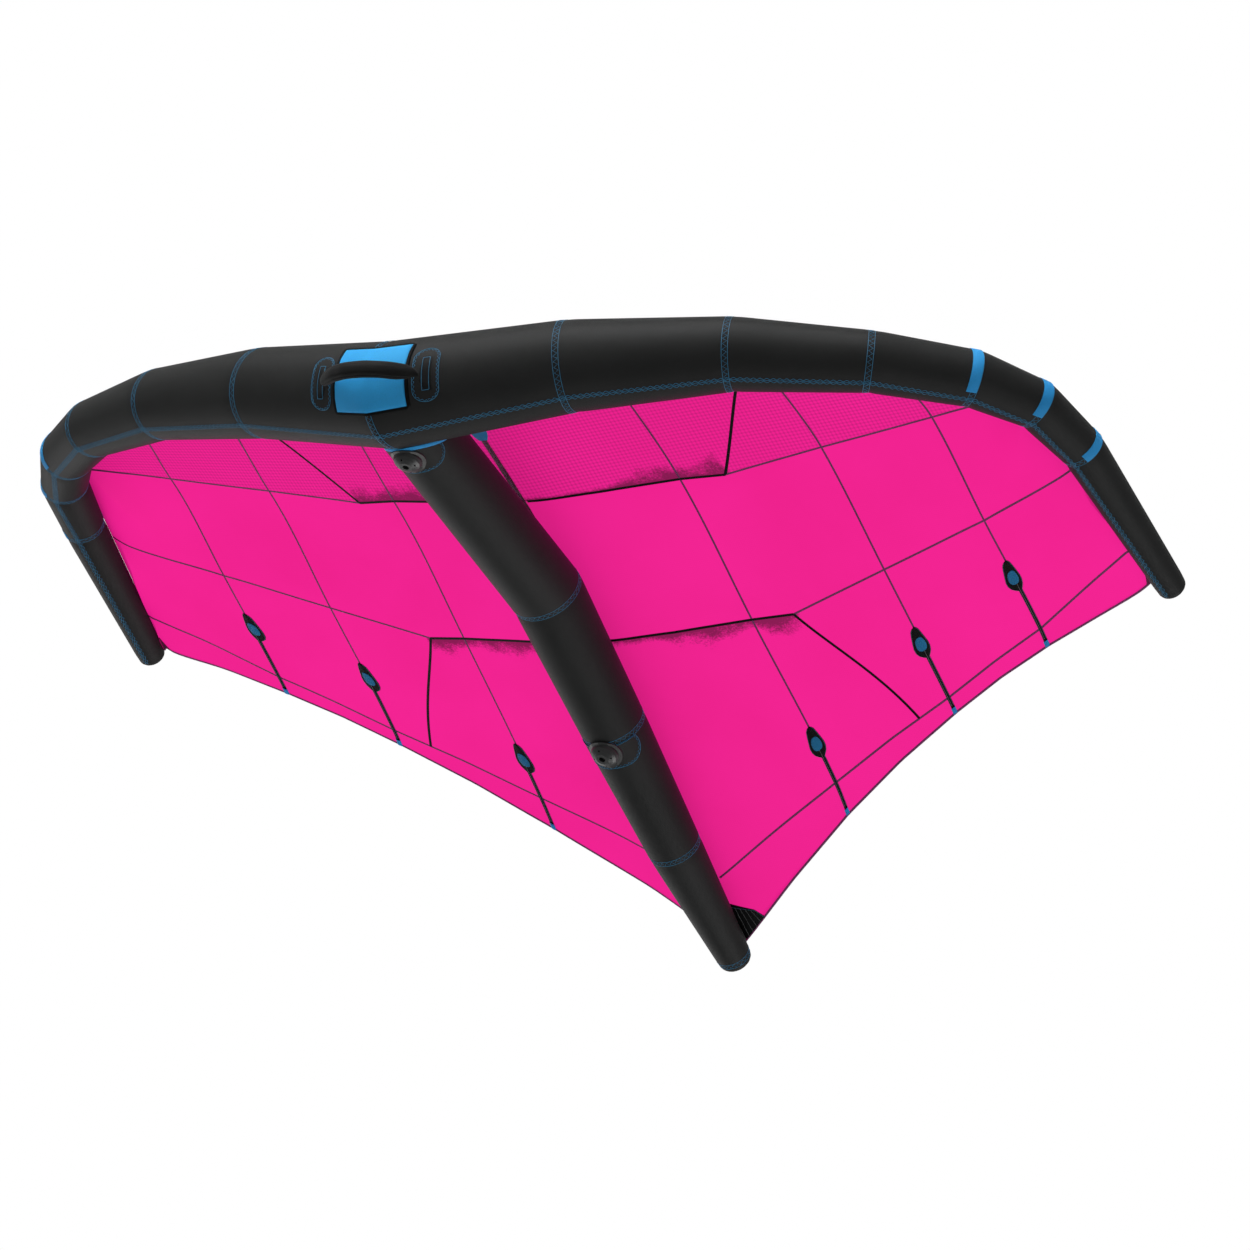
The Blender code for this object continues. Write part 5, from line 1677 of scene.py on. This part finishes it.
PAD_FIRST_ANGLE = 111.0
PAD_LAST_ANGLE = 187.0
PAD_HALF = 0.0900
PAD_WALL = 0.0060
pad_surface = edge_surface((PAD_FIRST_ANGLE + PAD_LAST_ANGLE) / 2)
pad_arc = math.radians(PAD_LAST_ANGLE - PAD_FIRST_ANGLE) * TUBE_RADIUS / 2
PAD_EDGE_SHARES = (-1.0, -0.985, -0.96, -0.92, -0.84, -0.6, -0.3, 0.0, 0.3, 0.6, 0.84, 0.92, 0.96,
                   0.985, 1.0)


def pad_lift(across, down):
    """Crowned foam that rounds off at its border."""
    edge = min(1.0 - abs(across), 1.0 - abs(down))
    rise = min(edge / 0.10, 1.0)
    crown = 1.0 - 0.18 * (across * across + down * down)
    return PAD_WALL * (0.30 + 0.70 * math.sqrt(max(0.0, 1 - (1 - rise) ** 2))) * crown


outer = []
inner = []
for down in PAD_EDGE_SHARES:
    row = []
    low = []
    for across in PAD_EDGE_SHARES:
        point, normal = pad_surface(PAD_HALF * across, pad_arc * down, 0.0)
        row.append(point + normal * (GAP + pad_lift(across, down)))
        low.append(point + normal * GAP)
    outer.append(row)
    inner.append(low)
pad = sheet_body("knuckle_pad_foam", outer, inner, PAD_CLOTH, False, metre_spans(outer), sharp=75.0)
fit(pad, "knuckle_pad")
rim_path = rounded_path(PAD_HALF + 0.0030, pad_arc + 0.0026, 0.006, 0.0, 0.006)
rim = strips("knuckle_pad_rim", [path_route(rim_path, pad_surface, 0.0003)], POCKET_CLOTH,
             0.0052, 0.0034)
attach(rim, WING)

FOOT_PATCH_HALF = 0.0310
FOOT_PATCH_FIRST = 112.0
FOOT_PATCH_LAST = 176.0
foot_centre = (FOOT_PATCH_FIRST + FOOT_PATCH_LAST) / 2
foot_arc = math.radians(FOOT_PATCH_LAST - FOOT_PATCH_FIRST) * TUBE_RADIUS / 2
BAR_HALF_U = 0.0080
BAR_HALF_V = 0.0405
BAR_OUT = 0.0010
for side, side_name in SIDE_NAMES:
    flat = edge_surface(foot_centre, side)

    def surface(u, v, lift, flat=flat):
        return flat(u + GRIP_SPAN / 2, v, lift)

    rows, thicks = rounded_rows(FOOT_PATCH_HALF, foot_arc, FOOT_PATCH_HALF, surface)
    patch = flat_piece("grip_patch_cloth_" + side_name, rows, thicks, TUBE_CLOTH)
    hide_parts("grip_patch_" + side_name)
    outline = rounded_path(FOOT_PATCH_HALF, foot_arc, FOOT_PATCH_HALF, 0.0014, 0.004)
    inner_path = rounded_path(FOOT_PATCH_HALF, foot_arc, FOOT_PATCH_HALF, 0.0048, 0.0050)
    bar = [(u + BAR_OUT, v, out_u, out_v)
           for u, v, out_u, out_v in rounded_path(BAR_HALF_U, BAR_HALF_V, 0.0012, 0.0, 0.006)]
    sewn("grip_patch_stitches_" + side_name,
         [path_route(outline, surface, 0.0013),
          path_route(zigzag_path(inner_path, 0.0022), surface, 0.0013),
          path_route(bar, surface, 0.0032)])
    tab_rows = []
    for number in range(9):
        u = -0.0120 + 0.0265 * number / 8
        wide = 0.0200 + 0.0225 * min(number / 3, 1.0)
        tab_rows.append([surface(u, wide * across, 0.0011)
                         for across in (-1.0, -0.95, -0.5, 0.0, 0.5, 0.95, 1.0)])
    tab_thick = [0.0006, 0.0018, 0.0018, 0.0018, 0.0018, 0.0018, 0.0006]
    flat_piece("grip_webbing_" + side_name, tab_rows, [tab_thick] * 9, GRIP_CLOTH)

GRIP_ANGLE = 146.0
GRIP_HALF_HIGH = 0.0205
GRIP_HALF_THICK = 0.0130
# The grip's flat arch from a foot to its middle.
GRIP_OUTS = (0.1290, 0.1278, 0.1240, 0.1120, 0.0950, 0.0830, 0.0650, 0.0480, 0.0280, 0.0)
GRIP_LIFTS = (-0.0010, 0.0030, 0.0105, 0.0205, 0.0330, 0.0420, 0.0535, 0.0605, 0.0670, 0.0690)
GRIP_HIGH_SHARES = (0.28, 0.34, 0.62, 0.92, 0.98, 1.0, 1.0, 1.0, 1.0, 1.0)
GRIP_LOW_SHARES = (0.28, 0.34, 0.48, 0.80, 0.96, 1.0, 1.0, 1.0, 1.0, 1.0)
GRIP_FLAT_SHARES = (0.26, 0.34, 0.52, 0.72, 0.88, 0.95, 1.0, 1.0, 1.0, 1.0)
GRIP_AROUND = 96
# Angle, width in degrees and depth of each fold that runs along the cloth cover.
FOLDS = ((236.0, 5.0, 0.075), (226.0, 4.0, -0.055), (214.0, 5.0, 0.045), (300.0, 6.0, 0.025),
         (60.0, 8.0, 0.030))
grip_out = EDGE.outward(0, GRIP_ANGLE)
grip_out = Vector((0, grip_out.y, grip_out.z)).normalized()
grip_up = Vector((0, grip_out.z, -grip_out.y))
half_arch = [Vector((out, lift, 0)) for out, lift in zip(GRIP_OUTS, GRIP_LIFTS)]
arch = half_arch + [Vector((-point.x, point.y, 0)) for point in reversed(half_arch[:-1])]
sizes = list(zip(GRIP_HIGH_SHARES, GRIP_LOW_SHARES, GRIP_FLAT_SHARES))
sizes += list(reversed(sizes[:-1]))


def grip_centres():
    """Centres and sizes along the arch, in even parts of each span."""
    steps = []
    for number in range(len(arch) - 1):
        before = arch[number - 1] if number else arch[0] * 2 - arch[1]
        after = arch[number + 2] if number < len(arch) - 2 else arch[-1] * 2 - arch[-2]
        for part in range(5):
            share = part / 5
            flat = catmull(before, arch[number], arch[number + 1], after, share)
            steps.append((flat, [here * (1 - share) + there * share
                                 for here, there in zip(sizes[number], sizes[number + 1])]))
    steps.append((arch[-1], sizes[-1]))
    return [(Vector((flat.x, foot_spot.y, foot_spot.z)) + grip_out * flat.y, size)
            for flat, size in steps]


def grip_ring(centre, way, shares):
    high, low, thick = shares
    inward = way.cross(grip_up).normalized()
    row = []
    for step in range(GRIP_AROUND):
        angle = 360.0 * step / GRIP_AROUND
        spin = math.radians(angle)
        size = 1.0 + 0.008 * math.sin(centre.x * 90.0 + spin * 2)
        for place, wide, depth in FOLDS:
            size -= depth * math.exp(-((angle - place) / wide) ** 2)
        tall = high if math.cos(spin) > 0 else low
        row.append(centre + grip_up * GRIP_HALF_HIGH * tall * size * math.cos(spin)
                   + inward * GRIP_HALF_THICK * thick * size * math.sin(spin))
    return row


centres = grip_centres()
outer = []
for number, (centre, shares) in enumerate(centres):
    before = centres[max(number - 1, 0)][0]
    after = centres[min(number + 1, len(centres) - 1)][0]
    outer.append(grip_ring(centre, (after - before).normalized(), shares))


def closed_body(name, rows, stuff):
    """Tube-like body whose ends are closed flat."""
    work = bmesh.new()
    layer = work.loops.layers.uv.new("UVMap")
    spans = metre_spans(rows)
    verts = [[work.verts.new(point + ORIGIN) for point in row] for row in rows]
    columns = len(rows[0])
    for row in range(len(rows) - 1):
        for step in range(columns):
            after = (step + 1) % columns
            made = work.faces.new((verts[row][step], verts[row][after], verts[row + 1][after],
                                   verts[row + 1][step]))
            marks = (spans(row, step), spans(row, step + 1), spans(row + 1, step + 1),
                     spans(row + 1, step))
            for loop, mark in zip(made.loops, marks):
                loop[layer].uv = mark
    work.faces.new(verts[0])
    work.faces.new(verts[-1])
    return object_from(name, work, stuff, 50.0)


grip = closed_body("front_grip_foam", outer, GRIP_CLOTH)
fit(grip, "front_grip", GRIP)


# CAD nodes that stay: moulded bases and valve


def dress(node, stuff, bevel):
    """Give a kept CAD node its material and a small round on its sharp edges."""
    kept = frame["nodes"][node]
    kept.data.materials.clear()
    kept.data.materials.append(stuff)
    edge = kept.modifiers.new("edge", "BEVEL")
    edge.width = bevel
    edge.segments = 2
    edge.limit_method = "ANGLE"
    edge.angle_limit = math.radians(38.0)
    edge.harden_normals = True


for node in ("front_handle_base", "rear_handle_base"):
    dress(node, MOULDING, 0.0006)
for node in ("valve_base", "valve_plug"):
    dress(node, VALVE_PLASTIC, 0.0004)


# Camera, light and stage

CAMERA_PLACE = Vector((8.956, -8.8522, -11.1583))
CAMERA_RIGHT = Vector((0.85954, 0.37671, 0.34537))
CAMERA_UP = Vector((0.05686, -0.74207, 0.66791))
CAMERA_BACK = Vector((0.50789, -0.55446, -0.65926))
camera_data = bpy.data.cameras.new("camera")
camera_data.lens = 207.36
camera_data.sensor_width = 36.0
camera_data.clip_end = 200.0
camera = bpy.data.objects.new("camera", camera_data)
bpy.context.scene.collection.objects.link(camera)
camera.matrix_world = (Matrix.Translation(CAMERA_PLACE)
                       @ Matrix((CAMERA_RIGHT, CAMERA_UP, CAMERA_BACK)).transposed().to_4x4())
bpy.context.scene.camera = camera


def soft_sun(name, toward, strength, spread):
    """Distant soft light that shines from a direction over the whole wing."""
    data = bpy.data.lights.new(name, "SUN")
    data.energy = strength
    data.angle = math.radians(spread)
    light = bpy.data.objects.new(name, data)
    light.location = Vector(toward) * 6.0
    bpy.context.scene.collection.objects.link(light)
    light.rotation_euler = (-light.location).to_track_quat("-Z", "Y").to_euler()
    return light


soft_sun("front_softbox", (-0.16, -0.82, 0.56), 3.0, 40.0)
back_softbox = soft_sun("back_softbox", (0.40, 0.80, -0.43), 2.2, 50.0)
left_softbox = soft_sun("left_softbox", (-0.74, 0.55, -0.10), 0.5, 50.0)
# The canopy gets a light of its own in place of the two low ones, for the daylight that real
# cloth lets through.
canopy_glow = soft_sun("canopy_glow", (0.0, 0.15, -0.99), 2.15, 60.0)
canopy_lit = bpy.data.collections.new("canopy_lit")
canopy_lit.objects.link(CANOPY)
canopy_glow.light_linking.receiver_collection = canopy_lit
canopy_glow.light_linking.blocker_collection = canopy_lit
others_lit = bpy.data.collections.new("others_lit")
for piece in bpy.context.scene.objects:
    if piece.type == "MESH" and piece != CANOPY:
        others_lit.objects.link(piece)
for light in (back_softbox, left_softbox):
    light.light_linking.receiver_collection = others_lit

world = bpy.data.worlds.new("studio")
bpy.context.scene.world = world
world.use_nodes = True
tree = world.node_tree
background = tree.nodes["Background"]
path = tree.nodes.new("ShaderNodeLightPath")
seen = tree.nodes.new("ShaderNodeBackground")
seen.inputs["Color"].default_value = (1.0, 1.0, 1.0, 1.0)
seen.inputs["Strength"].default_value = 1.0
background.inputs["Color"].default_value = (1.0, 1.0, 1.0, 1.0)
background.inputs["Strength"].default_value = 0.34
mixer = tree.nodes.new("ShaderNodeMixShader")
tree.links.new(path.outputs["Is Camera Ray"], mixer.inputs[0])
tree.links.new(background.outputs[0], mixer.inputs[1])
tree.links.new(seen.outputs[0], mixer.inputs[2])
tree.links.new(mixer.outputs[0], tree.nodes["World Output"].inputs["Surface"])

# Plain pale floor, far below the hung wing and the camera that looks up at it.
FLOOR_HALF = 60.0
FLOOR_DEPTH = 24.0
floor_work = bmesh.new()
bmesh.ops.create_grid(floor_work, x_segments=1, y_segments=1, size=FLOOR_HALF)
floor_mesh = bpy.data.meshes.new("floor")
floor_work.to_mesh(floor_mesh)
floor_work.free()
floor = bpy.data.objects.new("floor", floor_mesh)
bpy.context.scene.collection.objects.link(floor)
floor.location = (0.0, 0.0, -FLOOR_DEPTH)
pale = Nodes("pale_floor")
pale_spots = pale.noise(pale.coordinates("Object"), 0.4, 3.0, 0.5)
pale.link(pale.mix(pale_spots, (0.86, 0.86, 0.86), (0.90, 0.90, 0.90)),
          pale.shader.inputs["Base Color"])
pale.shader.inputs["Roughness"].default_value = 0.9
floor_mesh.materials.append(pale.made)
floor.visible_diffuse = False
floor.visible_glossy = False

bpy.context.scene.view_settings.view_transform = "Standard"
